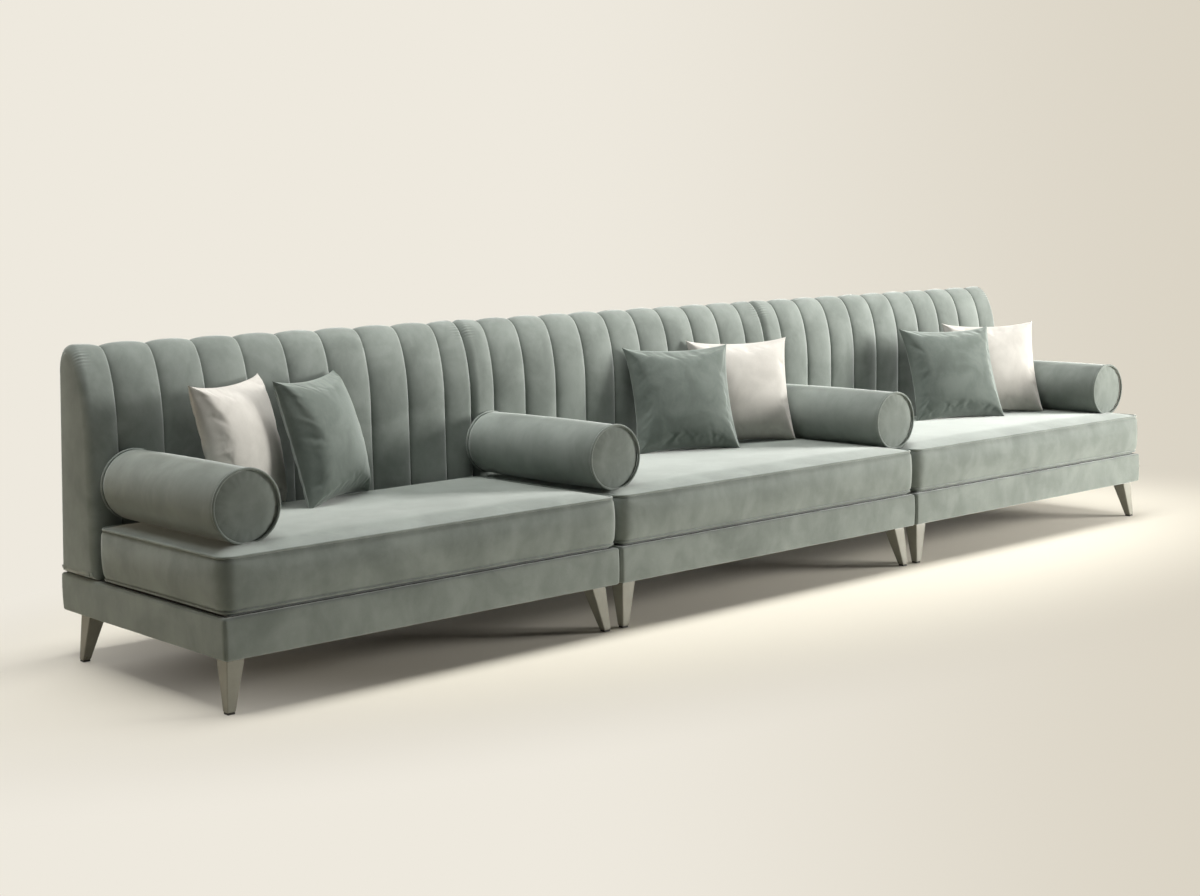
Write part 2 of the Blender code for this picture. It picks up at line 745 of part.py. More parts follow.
def main():
    """Builds the three modules, then the loose pieces on their seats."""
    for old in list(bpy.data.objects):
        bpy.data.objects.remove(old, do_unlink=True)
    shop = Workshop()
    modules = {module.name: module for module in make_modules()}
    holders = {}
    seats = {}
    for name, module in modules.items():
        holder = shop.empty(f"{name}_module", (module.middle, 0, 0))
        holders[name] = holder
        build_plinth(shop, module, holder)
        build_legs(shop, module, holder)
        build_back(shop, module, holder)
        seats[name] = build_seat(shop, module, holder)
    for name in ("left", "centre"):
        build_hook(shop, modules[name], holders[name])
    for name in ("centre", "right"):
        build_receiver(shop, modules[name], holders[name])

    bolsters = (
        ("bolster_left_end", "left", -LEFT_LENGTH / 2 + BOLSTER_LEFT_INSET),
        ("bolster_first_join", "centre", -CENTRE_LENGTH / 2 + BOLSTER_FIRST_JOIN_OFFSET),
        ("bolster_second_join", "centre", CENTRE_LENGTH / 2 + BOLSTER_SECOND_JOIN_OFFSET),
        ("bolster_right_end", "right", RIGHT_LENGTH / 2 - BOLSTER_RIGHT_INSET),
    )
    for name, module, x in bolsters:
        build_bolster(shop, name, holders[module], x, seats.values())
    for module, finish, end, inset, y, turn, lean in PILLOWS:
        name = f"{module}_pillow_{finish}"
        colour = "cream" if finish == "cream" else "velvet"
        place = (end * (modules[module].length / 2 - inset), depth(y))
        build_pillow(shop, name, colour, holders[module], place, turn, lean, seats[module])


main()
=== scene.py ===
"""Modular majlis sofa: soft covers, finishes, stage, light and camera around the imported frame."""

import logging
import math
from collections.abc import Sequence
from dataclasses import dataclass, field
from enum import Enum
from functools import cached_property
from typing import Any

import bmesh
import bpy
import numpy as np
import numpy.typing as npt
from mathutils import Matrix, Vector


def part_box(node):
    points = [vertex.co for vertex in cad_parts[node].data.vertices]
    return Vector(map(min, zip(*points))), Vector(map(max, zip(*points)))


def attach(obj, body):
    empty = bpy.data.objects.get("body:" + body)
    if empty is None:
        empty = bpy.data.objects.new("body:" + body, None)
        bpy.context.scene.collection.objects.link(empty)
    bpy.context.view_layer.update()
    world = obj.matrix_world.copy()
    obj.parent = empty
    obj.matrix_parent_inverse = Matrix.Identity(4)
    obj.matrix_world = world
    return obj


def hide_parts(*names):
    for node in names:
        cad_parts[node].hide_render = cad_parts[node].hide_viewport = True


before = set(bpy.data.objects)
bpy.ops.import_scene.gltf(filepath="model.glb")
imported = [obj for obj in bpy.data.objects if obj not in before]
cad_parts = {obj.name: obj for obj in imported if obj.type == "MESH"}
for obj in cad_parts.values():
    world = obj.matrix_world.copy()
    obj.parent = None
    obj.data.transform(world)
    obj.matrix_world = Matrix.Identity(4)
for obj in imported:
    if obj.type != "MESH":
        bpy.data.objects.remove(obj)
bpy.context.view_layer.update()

log = logging.getLogger("majlis_sofa")

Array = npt.NDArray[np.float64]
Faces = npt.NDArray[np.int64]
Colour = tuple[float, float, float]
Piece = bpy.types.Object

PHOTO_WIDTH = 1200
SENSOR_WIDTH = 36.0
WELD_STEP = 1e-5
WELD_SHIFT = 0.37
STRIP_POWER = 1.6
SEWN = 0.5
FAR_BELOW = -1.0
TINY = 1e-9


class Module(Enum):
    """The three units of the row, from left to right."""

    LEFT = "left"
    CENTRE = "centre"
    RIGHT = "right"


class Slot(Enum):
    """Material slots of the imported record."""

    VELVET = "velvet"
    CREAM = "cream"


class Cloth(Enum):
    """The two cloths that pillows are sewn from."""

    SAGE = "sage"
    CREAM = "cream"


# Surfaces


def grid_faces(rows: int, columns: int, wrap_rows: bool, wrap_columns: bool) -> Faces:
    """Four-sided faces of a grid whose points are counted row by row.

    Args:
        rows: Number of rows of points.
        columns: Number of points in a row.
        wrap_rows: Whether the last row joins the first.
        wrap_columns: Whether each row is a ring.

    Returns:
        One line of four point numbers for each face.
    """
    row, column = np.meshgrid(
        np.arange(rows if wrap_rows else rows - 1),
        np.arange(columns if wrap_columns else columns - 1),
        indexing="ij",
    )
    below, beside = (row + 1) % rows, (column + 1) % columns
    corners = (
        row * columns + column,
        row * columns + beside,
        below * columns + beside,
        below * columns + column,
    )
    return np.stack(corners, axis=-1).reshape(-1, 4)


def weld(points: Array) -> tuple[Array, Array]:
    """Finds points that share a place, after rounding each place to the weld's step.

    Args:
        points: Points as n by three.

    Returns:
        The first point at each place, and the number of each point's place.
    """
    keys = np.floor(points / WELD_STEP + WELD_SHIFT).astype(np.int64)
    _, first, back = np.unique(keys, axis=0, return_index=True, return_inverse=True)
    return first, back.reshape(-1)


@dataclass
class Skin:
    """A surface before it is a mesh: points, four-sided faces, and how far a seam holds each point."""

    points: Array
    faces: Faces
    hold: Array

    @classmethod
    def grid(
        cls,
        points: Array,
        wrap_rows: bool = False,
        wrap_columns: bool = False,
        hold: Array | None = None,
    ) -> "Skin":
        """Skin of a grid of points.

        Args:
            points: Points as rows by columns by three.
            wrap_rows: Whether the last row joins the first.
            wrap_columns: Whether each row is a ring.
            hold: Hold of each point, nothing held if left out.

        Returns:
            The skin.
        """
        rows, columns = points.shape[:2]
        held = np.zeros((rows, columns)) if hold is None else hold
        faces = grid_faces(rows, columns, wrap_rows, wrap_columns)
        return cls(points.reshape(-1, 3), faces, held.reshape(-1))

    def __add__(self, other: "Skin") -> "Skin":
        """Both skins in one."""
        return Skin(
            np.vstack((self.points, other.points)),
            np.vstack((self.faces, other.faces + len(self.points))),
            np.concatenate((self.hold, other.hold)),
        )

    def welded(self) -> "Skin":
        """Joins points that share a place and keeps the strongest hold of each.

        Returns:
            The skin with each place kept once.
        """
        first, back = weld(self.points)
        hold = np.zeros(len(first))
        np.maximum.at(hold, back, self.hold)
        return Skin(self.points[first], back[self.faces], hold)

    def polygons(self) -> list[list[int]]:
        """Faces as lists, where a corner that repeats at a pole is left out.

        Returns:
            Point numbers of each face, those with four corners first.
        """
        same = self.faces == np.roll(self.faces, -1, axis=1)
        repeats = same.sum(axis=1)
        whole = self.faces[repeats == 0]
        pinched = self.faces[repeats == 1][~same[repeats == 1]].reshape(-1, 3)
        return whole.tolist() + pinched.tolist()

    def piece(self, name: str, outward: bool = True) -> Piece:
        """Turns the skin into an object at the origin.

        Args:
            name: Name of the object.
            outward: Whether the faces are turned outwards here.

        Returns:
            The object, smooth shaded.
        """
        mesh = bpy.data.meshes.new(name)
        mesh.from_pydata(self.points.tolist(), [], self.polygons())
        if outward:
            bm = bmesh.new()
            bm.from_mesh(mesh)
            bmesh.ops.recalc_face_normals(bm, faces=bm.faces[:])
            bm.to_mesh(mesh)
            bm.free()
        mesh.shade_smooth()
        piece = bpy.data.objects.new(name, mesh)
        bpy.context.scene.collection.objects.link(piece)
        return piece


def loop_normals(loop: Array) -> Array:
    """Outward normals of a closed flat loop: the tangent between neighbours turned a quarter.

    Args:
        loop: Points of the loop as n by two.

    Returns:
        Unit normals that point away from the middle of the loop.
    """
    tangent = np.roll(loop, -1, axis=0) - np.roll(loop, 1, axis=0)
    normal = np.stack((tangent[:, 1], -tangent[:, 0]), axis=1)
    normal /= np.maximum(np.linalg.norm(normal, axis=1, keepdims=True), TINY)
    ahead = np.roll(loop, -1, axis=0)
    area = np.sum(loop[:, 0] * ahead[:, 1] - ahead[:, 0] * loop[:, 1])
    return normal if area > 0 else -normal


def cord_round(path: Array, normals: Array, radius: float, sides: int = 8) -> Skin:
    """Round welt cord along a closed, nearly level path: a circle of normal and height at each point.

    Args:
        path: Points of the path as n by three.
        normals: Level outward normals as n by two.
        radius: Radius of the cord.
        sides: Number of points round the cord.

    Returns:
        The ring-shaped skin.
    """
    angle = np.linspace(0, 2 * math.pi, sides, endpoint=False)
    out = np.concatenate((normals, np.zeros((len(normals), 1))), axis=1)
    ring = out[:, None, :] * np.cos(angle)[None, :, None]
    ring = ring + np.array((0.0, 0.0, 1.0)) * np.sin(angle)[None, :, None]
    return Skin.grid(path[:, None, :] + radius * ring, wrap_rows=True, wrap_columns=True)


def rounded_rectangle(half_x: float, half_y: float, corner: float, straight: int, bend: int) -> Array:
    """Level loop of a rectangle with quarter-circle corners, counted anticlockwise.

    Args:
        half_x: Half of the length.
        half_y: Half of the depth.
        corner: Radius of the corners.
        straight: Number of points along each straight.
        bend: Number of points round each corner.

    Returns:
        Points of the loop as n by two.
    """
    turn = np.linspace(0, math.pi / 2, bend)
    share = np.linspace(0, 1, straight + 2)[1:-1, None]
    corners = []
    for quarter, (sign_x, sign_y) in enumerate(((1, 1), (-1, 1), (-1, -1), (1, -1))):
        angle = turn + quarter * math.pi / 2
        middle = np.array((sign_x * (half_x - corner), sign_y * (half_y - corner)))
        corners.append(middle + corner * np.stack((np.cos(angle), np.sin(angle)), axis=1))
    parts = []
    for arc, after in zip(corners, corners[1:] + corners[:1]):
        parts += [arc, arc[-1] + (after[0] - arc[-1]) * share]
    return np.concatenate(parts)


def steps_between(low: float, high: float, edge: float, cell: float, edge_cells: int) -> Array:
    """Places from low to high: steps that grow with a power in each edge strip, and even steps between.

    Args:
        low: First place.
        high: Last place.
        edge: Width of the fine strip at each end.
        cell: Rough step between the strips.
        edge_cells: Number of steps in a strip.

    Returns:
        The places in order.
    """
    count = max(int(round((high - low - 2 * edge) / cell)), 1)
    strip = edge * (np.arange(edge_cells) / edge_cells) ** STRIP_POWER
    middle = np.linspace(low + edge, high - edge, count + 1)
    return np.concatenate((low + strip, middle, (high - strip)[::-1]))


def bilinear(table: Array, xs: Array, ys: Array, x: Array, y: Array) -> Array:
    """Heights between the points of a table, by linear shares along both ways.

    Args:
        table: Heights as len(xs) by len(ys).
        xs: Places of the rows.
        ys: Places of the columns.
        x: Wanted places along the rows.
        y: Wanted places along the columns.

    Returns:
        One height for each wanted place.
    """
    row = np.clip(np.searchsorted(xs, x) - 1, 0, len(xs) - 2)
    column = np.clip(np.searchsorted(ys, y) - 1, 0, len(ys) - 2)
    u = np.clip((x - xs[row]) / (xs[row + 1] - xs[row]), 0, 1)
    v = np.clip((y - ys[column]) / (ys[column + 1] - ys[column]), 0, 1)
    near = table[row, column] * (1 - v) + table[row, column + 1] * v
    far = table[row + 1, column] * (1 - v) + table[row + 1, column + 1] * v
    return near * (1 - u) + far * u


def read_points(piece: Piece) -> Array:
    """Reads the points of a piece's own mesh.

    Args:
        piece: The piece.

    Returns:
        Points as n by three.
    """
    flat = np.empty(len(piece.data.vertices) * 3)
    piece.data.vertices.foreach_get("co", flat)
    return flat.reshape(-1, 3)


def write_points(piece: Piece, points: Array) -> None:
    """Moves the points of a piece's own mesh to n by three places."""
    piece.data.vertices.foreach_set("co", points.astype(np.float32).ravel())
    piece.data.update()


def subdivide(piece: Piece, levels: int = 1) -> None:
    """Adds a subdivision surface that is the same in view and render.

    Args:
        piece: The piece.
        levels: Number of subdivisions.
    """
    soft = piece.modifiers.new("soft", "SUBSURF")
    soft.levels = levels
    soft.render_levels = levels


# Cloth


@dataclass(frozen=True)
class Filling:
    """How hard a cover is blown up.

    Attributes:
        pressure: Pressure inside.
        reach: The most that a point may move.
        tension: Stiffness against stretch.
        bending: Stiffness against folds.
        mass: Mass of the cloth's points.
        shear_part: How many times softer the cloth is to shear than to stretch.
    """

    pressure: float
    reach: float
    tension: float
    bending: float
    mass: float = 0.3
    shear_part: float = 3.0


def start_of(share: float) -> float:
    """Share of its height that a cover starts from."""
    return share


@dataclass
class ClothBench:
    """Blows up covers with Blender's cloth, all in one run of frames."""

    frames: int = 20
    quality: int = 4
    covers: list[tuple[Piece, Filling]] = field(default_factory=list)

    def lay(self, piece: Piece, hold: Array, filling: Filling) -> None:
        """Puts a cover on the bench.

        Args:
            piece: The cover.
            hold: Hold of each point, where 1 is sewn down.
            filling: How hard it is blown up.
        """
        pins = piece.vertex_groups.new(name="sewn")
        pins.add(np.flatnonzero(hold > SEWN).tolist(), 1.0, "REPLACE")
        cloth = piece.modifiers.new("cloth", "CLOTH")
        cloth.settings.quality = self.quality
        cloth.settings.mass = filling.mass
        cloth.settings.tension_stiffness = filling.tension
        cloth.settings.compression_stiffness = filling.tension
        cloth.settings.shear_stiffness = filling.tension / filling.shear_part
        cloth.settings.bending_stiffness = filling.bending
        cloth.settings.use_pressure = True
        cloth.settings.uniform_pressure_force = filling.pressure
        cloth.settings.effector_weights.gravity = 0
        cloth.settings.vertex_group_mass = pins.name
        cloth.collision_settings.use_collision = False
        cloth.collision_settings.use_self_collision = False
        cloth.point_cache.frame_start = 1
        cloth.point_cache.frame_end = self.frames
        self.covers.append((piece, filling))

    def run(self) -> None:
        """Steps the frames, then keeps each cover's blown shape, with no point further than its reach."""
        scene = bpy.context.scene
        for number in range(1, self.frames + 1):
            scene.frame_set(number)
        graph = bpy.context.evaluated_depsgraph_get()
        for piece, filling in self.covers:
            start = read_points(piece)
            shown = piece.evaluated_get(graph)
            blown = np.empty(start.size)
            shown.data.vertices.foreach_get("co", blown)
            move = blown.reshape(-1, 3) - start
            far = np.linalg.norm(move, axis=1, keepdims=True)
            move *= np.minimum(1, filling.reach / np.maximum(far, TINY))
            piece.modifiers.remove(piece.modifiers["cloth"])
            piece.vertex_groups.clear()
            write_points(piece, start + move)
            log.info("blown up: %s, at most %.1f mm", piece.name, 1000 * min(far.max(), filling.reach))
        scene.frame_set(1)
        self.covers.clear()


# Shader groups and finishes


@dataclass
class Tree:
    """A node tree that is filled node by node."""

    tree: bpy.types.NodeTree

    def node(self, kind: str, values: dict[Any, Any] | None = None, **settings: Any) -> bpy.types.Node:
        """Adds a node.

        Args:
            kind: Blender's name for the node.
            values: Input sockets by name or number, each with a value or a socket to link from.
            settings: Properties of the node.

        Returns:
            The node.
        """
        node = self.tree.nodes.new(kind)
        for name, value in settings.items():
            setattr(node, name, value)
        for socket, value in (values or {}).items():
            if isinstance(value, bpy.types.NodeSocket):
                self.tree.links.new(value, node.inputs[socket])
            else:
                node.inputs[socket].default_value = value
        return node

    def link(self, source: bpy.types.NodeSocket, target: bpy.types.NodeSocket) -> None:
        """Links two sockets."""
        self.tree.links.new(source, target)

    def group(self, group: bpy.types.NodeTree, values: dict[Any, Any]) -> Any:
        """Places a shader group with its own values and gives its outputs."""
        return self.node("ShaderNodeGroup", values, node_tree=group).outputs

    def math(self, operation: str, first: Any, second: Any = 0.0) -> bpy.types.NodeSocket:
        """Adds a Math node and gives its result."""
        return self.node("ShaderNodeMath", {0: first, 1: second}, operation=operation).outputs[0]

    def spread(self, value: Any, low: float, high: float, to_low: Any, to_high: Any) -> bpy.types.NodeSocket:
        """Maps a value from one range to another, smoothly and within it.

        Args:
            value: Socket with the value.
            low: Start of its range.
            high: End of its range.
            to_low: Result at the start.
            to_high: Result at the end.

        Returns:
            Socket with the result.
        """
        values = {0: value, 1: low, 2: high, 3: to_low, 4: to_high}
        return self.node("ShaderNodeMapRange", values, interpolation_type="SMOOTHSTEP").outputs[0]

    def mix(self, share: Any, first: Any, second: Any, blend: str = "MIX") -> bpy.types.NodeSocket:
        """Mixes two colours by a share and gives the result."""
        values = {0: share, 6: first, 7: second}
        return self.node("ShaderNodeMix", values, data_type="RGBA", blend_type=blend).outputs[2]

    def stretched(self, place: Any, stretch: Any) -> bpy.types.NodeSocket:
        """Multiplies a place by a stretch along each axis."""
        return self.node("ShaderNodeVectorMath", {0: place, 1: stretch}, operation="MULTIPLY").outputs[0]

    def scaled(self, place: Any, factor: Any) -> bpy.types.NodeSocket:
        """Multiplies a place or colour by one factor."""
        return self.node("ShaderNodeVectorMath", {0: place, 3: factor}, operation="SCALE").outputs[0]

    def blend(self, first: Any, second: Any, share: float, rest: float) -> bpy.types.NodeSocket:
        """Adds two values, each times its own share."""
        return self.math("ADD", self.math("MULTIPLY", first, share), self.math("MULTIPLY", second, rest))

    def noise(
        self,
        place: Any,
        scale: Any,
        detail: float,
        rough: float = 0.5,
        twist: float = 0.0,
    ) -> bpy.types.NodeSocket:
        """Adds a noise texture and gives its grey value.

        Args:
            place: Socket with the place.
            scale: Size of the noise.
            detail: Number of finer layers.
            rough: Strength of the finer layers.
            twist: Distortion.

        Returns:
            Socket with the value.
        """
        values = {"Vector": place, "Scale": scale, "Detail": detail, "Roughness": rough, "Distortion": twist}
        return self.node("ShaderNodeTexNoise", values).outputs[0]


def open_group(
    name: str,
    inputs: Sequence[tuple[str, str, Any]],
    outputs: Sequence[tuple[str, str]],
) -> tuple[Tree, Any, Any]:
    """Starts a shader group with named sockets.

    Args:
        name: Name of the group.
        inputs: Name, kind and first value of each input.
        outputs: Name and kind of each output.

    Returns:
        The tree to fill, the sockets of its inputs and the sockets of its outputs.
    """
    group = bpy.data.node_groups.new(name, "ShaderNodeTree")
    for label, kind, value in inputs:
        socket = group.interface.new_socket(name=label, in_out="INPUT", socket_type=f"NodeSocket{kind}")
        if value is not None:
            socket.default_value = value
    for label, kind in outputs:
        group.interface.new_socket(name=label, in_out="OUTPUT", socket_type=f"NodeSocket{kind}")
    tree = Tree(group)
    return tree, tree.node("NodeGroupInput").outputs, tree.node("NodeGroupOutput").inputs


class GroupShop:
    """Makes the shader groups that several finishes share, each one once."""

    @cached_property
    def nap(self) -> bpy.types.NodeTree:
        """Brushed pile: soft patches and upright streaks between a laid and a raised colour, and fine pile.

        Returns:
            The group.
        """
        tree, given, out = open_group(
            "nap",
            (
                ("Place", "Vector", None),
                ("Laid", "Color", (0.2, 0.2, 0.2, 1)),
                ("Raised", "Color", (0.3, 0.3, 0.3, 1)),
                ("Patches", "Float", 5.0),
                ("Streaks", "Float", 20.0),
                ("Pile", "Float", 700.0),
                ("Contrast", "Float", 1.0),
            ),
            (("Colour", "Color"), ("Roughness", "Float"), ("Height", "Float")),
        )
        patch = tree.noise(given["Place"], given["Patches"], detail=4.0, rough=0.55, twist=0.5)
        upright = tree.stretched(given["Place"], (1.0, 1.0, 0.55))
        streak = tree.noise(upright, given["Streaks"], detail=3.0, rough=0.6, twist=0.3)
        pile = tree.noise(given["Place"], given["Pile"], detail=2.0, rough=0.6)
        brushed = tree.blend(patch, streak, share=0.74, rest=0.26)
        centred = tree.math("MULTIPLY", tree.math("SUBTRACT", brushed, 0.5), given["Contrast"])
        share = tree.spread(tree.math("ADD", centred, 0.5), 0.25, 0.75, 0.0, 1.0)
        colour = tree.mix(share, given["Laid"], given["Raised"])
        tree.link(tree.scaled(colour, tree.spread(pile, 0.2, 0.8, 0.93, 1.07)), out["Colour"])
        tree.link(tree.spread(share, 0.0, 1.0, 0.78, 0.92), out["Roughness"])
        tree.link(tree.blend(pile, streak, share=0.55, rest=0.45), out["Height"])
        return tree.tree

    @cached_property
    def weave(self) -> bpy.types.NodeTree:
        """Plain weave: warp and weft waves over and under each other, with thick and thin threads.

        Returns:
            The group.
        """
        tree, given, out = open_group(
            "weave",
            (
                ("Place", "Vector", None),
                ("Thread", "Color", (0.5, 0.5, 0.5, 1)),
                ("Gap", "Color", (0.3, 0.3, 0.3, 1)),
                ("Count", "Float", 400.0),
                ("Slub", "Float", 0.3),
            ),
            (("Colour", "Color"), ("Height", "Float")),
        )
        split = tree.node("ShaderNodeSeparateXYZ", {0: tree.scaled(given["Place"], given["Count"])}).outputs
        warp = tree.math("ABSOLUTE", tree.math("SINE", split[0]))
        weft = tree.math("ABSOLUTE", tree.math("SINE", tree.math("ADD", split[1], split[2])))
        cross = tree.math("MAXIMUM", warp, weft)
        drawn_out = tree.stretched(given["Place"], (1.0, 0.06, 0.06))
        slub = tree.noise(drawn_out, given["Count"], detail=2.0)
        height = tree.math("ADD", cross, tree.math("MULTIPLY", slub, given["Slub"]))
        cloudy = tree.noise(given["Place"], scale=9.0, detail=3.0)
        colour = tree.mix(tree.spread(cross, 0.2, 0.9, 0.0, 1.0), given["Gap"], given["Thread"])
        thick = tree.math("MULTIPLY", tree.math("SUBTRACT", slub, 0.5), 0.1)
        shade = tree.math("ADD", tree.spread(cloudy, 0.3, 0.7, 0.95, 1.03), thick)
        tree.link(tree.scaled(colour, shade), out["Colour"])
        tree.link(height, out["Height"])
        return tree.tree

    @cached_property
    def grain(self) -> bpy.types.NodeTree:
        """Long grain: noise drawn out along one axis, with finer pores in it.

        Returns:
            The group.
        """
        tree, given, out = open_group(
            "grain",
            (
                ("Place", "Vector", None),
                ("Light", "Color", (0.6, 0.5, 0.3, 1)),
                ("Dark", "Color", (0.4, 0.3, 0.2, 1)),
                ("Stretch", "Vector", (1.0, 12.0, 12.0)),
                ("Scale", "Float", 6.0),
            ),
            (("Colour", "Color"), ("Height", "Float"), ("Roughness", "Float")),
        )
        along = tree.stretched(given["Place"], given["Stretch"])
        rings = tree.noise(along, given["Scale"], detail=5.0, rough=0.6, twist=1.2)
        pores = tree.noise(tree.scaled(along, 7.0), given["Scale"], detail=2.0)
        mixed = tree.blend(rings, pores, share=0.7, rest=0.3)
        share = tree.spread(mixed, 0.35, 0.65, 0.0, 1.0)
        tree.link(tree.mix(share, given["Dark"], given["Light"]), out["Colour"])
        tree.link(mixed, out["Height"])
        tree.link(tree.spread(share, 0.0, 1.0, 0.7, 0.5), out["Roughness"])
        return tree.tree

    @cached_property
    def wear(self) -> bpy.types.NodeTree:
        """Handling marks: blotches and fine scuffs as a mask, thicker towards a floor level.

        Returns:
            The group.
        """
        tree, given, out = open_group(
            "wear",
            (
                ("Place", "Vector", None),
                ("Scale", "Float", 40.0),
                ("Floor", "Float", 0.0),
                ("Fade", "Float", 0.05),
            ),
            (("Mask", "Float"), ("Blotch", "Float")),
        )
        height = tree.node("ShaderNodeSeparateXYZ", {0: given["Place"]}).outputs[2]
        above = tree.math("DIVIDE", tree.math("SUBTRACT", height, given["Floor"]), given["Fade"])
        low = tree.math("MAXIMUM", tree.math("SUBTRACT", 1.0, above), 0.0)
        upright = tree.stretched(given["Place"], (1.0, 1.0, 0.25))
        scuff = tree.noise(upright, given["Scale"], detail=6.0, rough=0.7, twist=0.6)
        worn = tree.math("ADD", tree.math("MULTIPLY", low, 0.22), scuff)
        tree.link(tree.spread(worn, 0.66, 0.78, 0.0, 1.0), out["Mask"])
        tree.link(tree.noise(given["Place"], scale=14.0, detail=4.0, rough=0.6), out["Blotch"])
        return tree.tree


GROUPS = GroupShop()


def rgba(colour: Colour) -> tuple[float, float, float, float]:
    """Linear colour with full cover."""
    return (*colour, 1.0)


def from_screen(red: int, green: int, blue: int) -> Colour:
    """Linear colour of a screen colour: the power law of sRGB on each channel.

    Args:
        red: Red from 0 to 255.
        green: Green from 0 to 255.
        blue: Blue from 0 to 255.

    Returns:
        The linear colour.
    """
    share = np.array((red, green, blue)) / 255
    linear = np.where(share <= 0.04045, share / 12.92, ((share + 0.055) / 1.055) ** 2.4)
    return tuple(float(value) for value in linear)


def open_material(name: str) -> tuple[bpy.types.Material, Tree, bpy.types.Node, bpy.types.NodeSocket]:
    """Starts a material.

    Args:
        name: Name of the material.

    Returns:
        The material, its tree, its Principled BSDF and the socket of Object coordinates.
    """
    material = bpy.data.materials.new(name)
    material.use_nodes = True
    tree = Tree(material.node_tree)
    surface = material.node_tree.nodes["Principled BSDF"]
    place = tree.node("ShaderNodeTexCoord").outputs["Object"]
    return material, tree, surface, place


def join(
    tree: Tree,
    surface: bpy.types.Node,
    links: dict[str, Any],
    height: Any,
    strength: float,
    distance: float,
) -> None:
    """Links group outputs to a shader and a height to its normal.

    Args:
        tree: Tree of the material.
        surface: The shader.
        links: Sockets of the shader, each with the socket it takes.
        height: Socket with the height of the bump.
        strength: Strength of the bump.
        distance: Depth of the bump in metres.
    """
    for name, socket in links.items():
        tree.link(socket, surface.inputs[name])
    bump = tree.node("ShaderNodeBump", {"Height": height, "Strength": strength, "Distance": distance})
    tree.link(bump.outputs[0], surface.inputs["Normal"])


@dataclass(frozen=True)
class Velvet:
    """Cut-pile velvet: brushed nap in the colour, a broad sheen at grazing angles and fine pile."""

    name: str
    laid: Colour
    raised: Colour
    sheen: Colour
    sheen_weight: float = 0.8
    sheen_roughness: float = 0.4
    patches: float = 6.0
    streaks: float = 22.0
    contrast: float = 1.3
    pile: float = 650.0
    specular: float = 0.15
    bump: float = 0.25
    bump_depth: float = 0.0008

    def material(self) -> bpy.types.Material:
        """Makes the material from the nap.

        Returns:
            The finished material.
        """
        material, tree, surface, place = open_material(self.name)
        nap = tree.group(
            GROUPS.nap,
            {
                "Place": place,
                "Laid": rgba(self.laid),
                "Raised": rgba(self.raised),
                "Patches": self.patches,
                "Streaks": self.streaks,
                "Pile": self.pile,
                "Contrast": self.contrast,
            },
        )
        surface.inputs["Sheen Weight"].default_value = self.sheen_weight
        surface.inputs["Sheen Roughness"].default_value = self.sheen_roughness
        surface.inputs["Sheen Tint"].default_value = rgba(self.sheen)
        surface.inputs["Specular IOR Level"].default_value = self.specular
        links = {"Base Color": nap["Colour"], "Roughness": nap["Roughness"]}
        join(tree, surface, links, nap["Height"], self.bump, self.bump_depth)
        return material


@dataclass(frozen=True)
class WovenCloth:
    """Plain woven cloth with a soft hand."""

    name: str
    thread: Colour
    gap: Colour
    count: float
    sheen_weight: float
    sheen_roughness: float = 0.4
    roughness: float = 0.88
    specular: float = 0.2
    slub: float = 0.35
    bump: float = 0.3
    bump_depth: float = 0.0005

    def material(self) -> bpy.types.Material:
        """Makes the material from the weave.

        Returns:
            The finished material.
        """
        material, tree, surface, place = open_material(self.name)
        weave = tree.group(
            GROUPS.weave,
            {
                "Place": place,
                "Thread": rgba(self.thread),
                "Gap": rgba(self.gap),
                "Count": self.count,
                "Slub": self.slub,
            },
        )
        surface.inputs["Sheen Weight"].default_value = self.sheen_weight
        surface.inputs["Sheen Roughness"].default_value = self.sheen_roughness
        surface.inputs["Roughness"].default_value = self.roughness
        surface.inputs["Specular IOR Level"].default_value = self.specular
        join(tree, surface, {"Base Color": weave["Colour"]}, weave["Height"], self.bump, self.bump_depth)
        return material


@dataclass(frozen=True)
class Timber:
    """Sawn wood with its grain."""

    name: str
    light: Colour
    dark: Colour
    stretch: tuple[float, float, float]
    scale: float
    bump: float = 0.3
    bump_depth: float = 0.0006

    def material(self) -> bpy.types.Material:
        """Makes the material from the grain.

        Returns:
            The finished material.
        """
        material, tree, surface, place = open_material(self.name)
        grain = tree.group(
            GROUPS.grain,
            {
                "Place": place,
                "Light": rgba(self.light),
                "Dark": rgba(self.dark),
                "Stretch": self.stretch,
                "Scale": self.scale,
            },
        )
        links = {"Base Color": grain["Colour"], "Roughness": grain["Roughness"]}
        join(tree, surface, links, grain["Height"], self.bump, self.bump_depth)
        return material


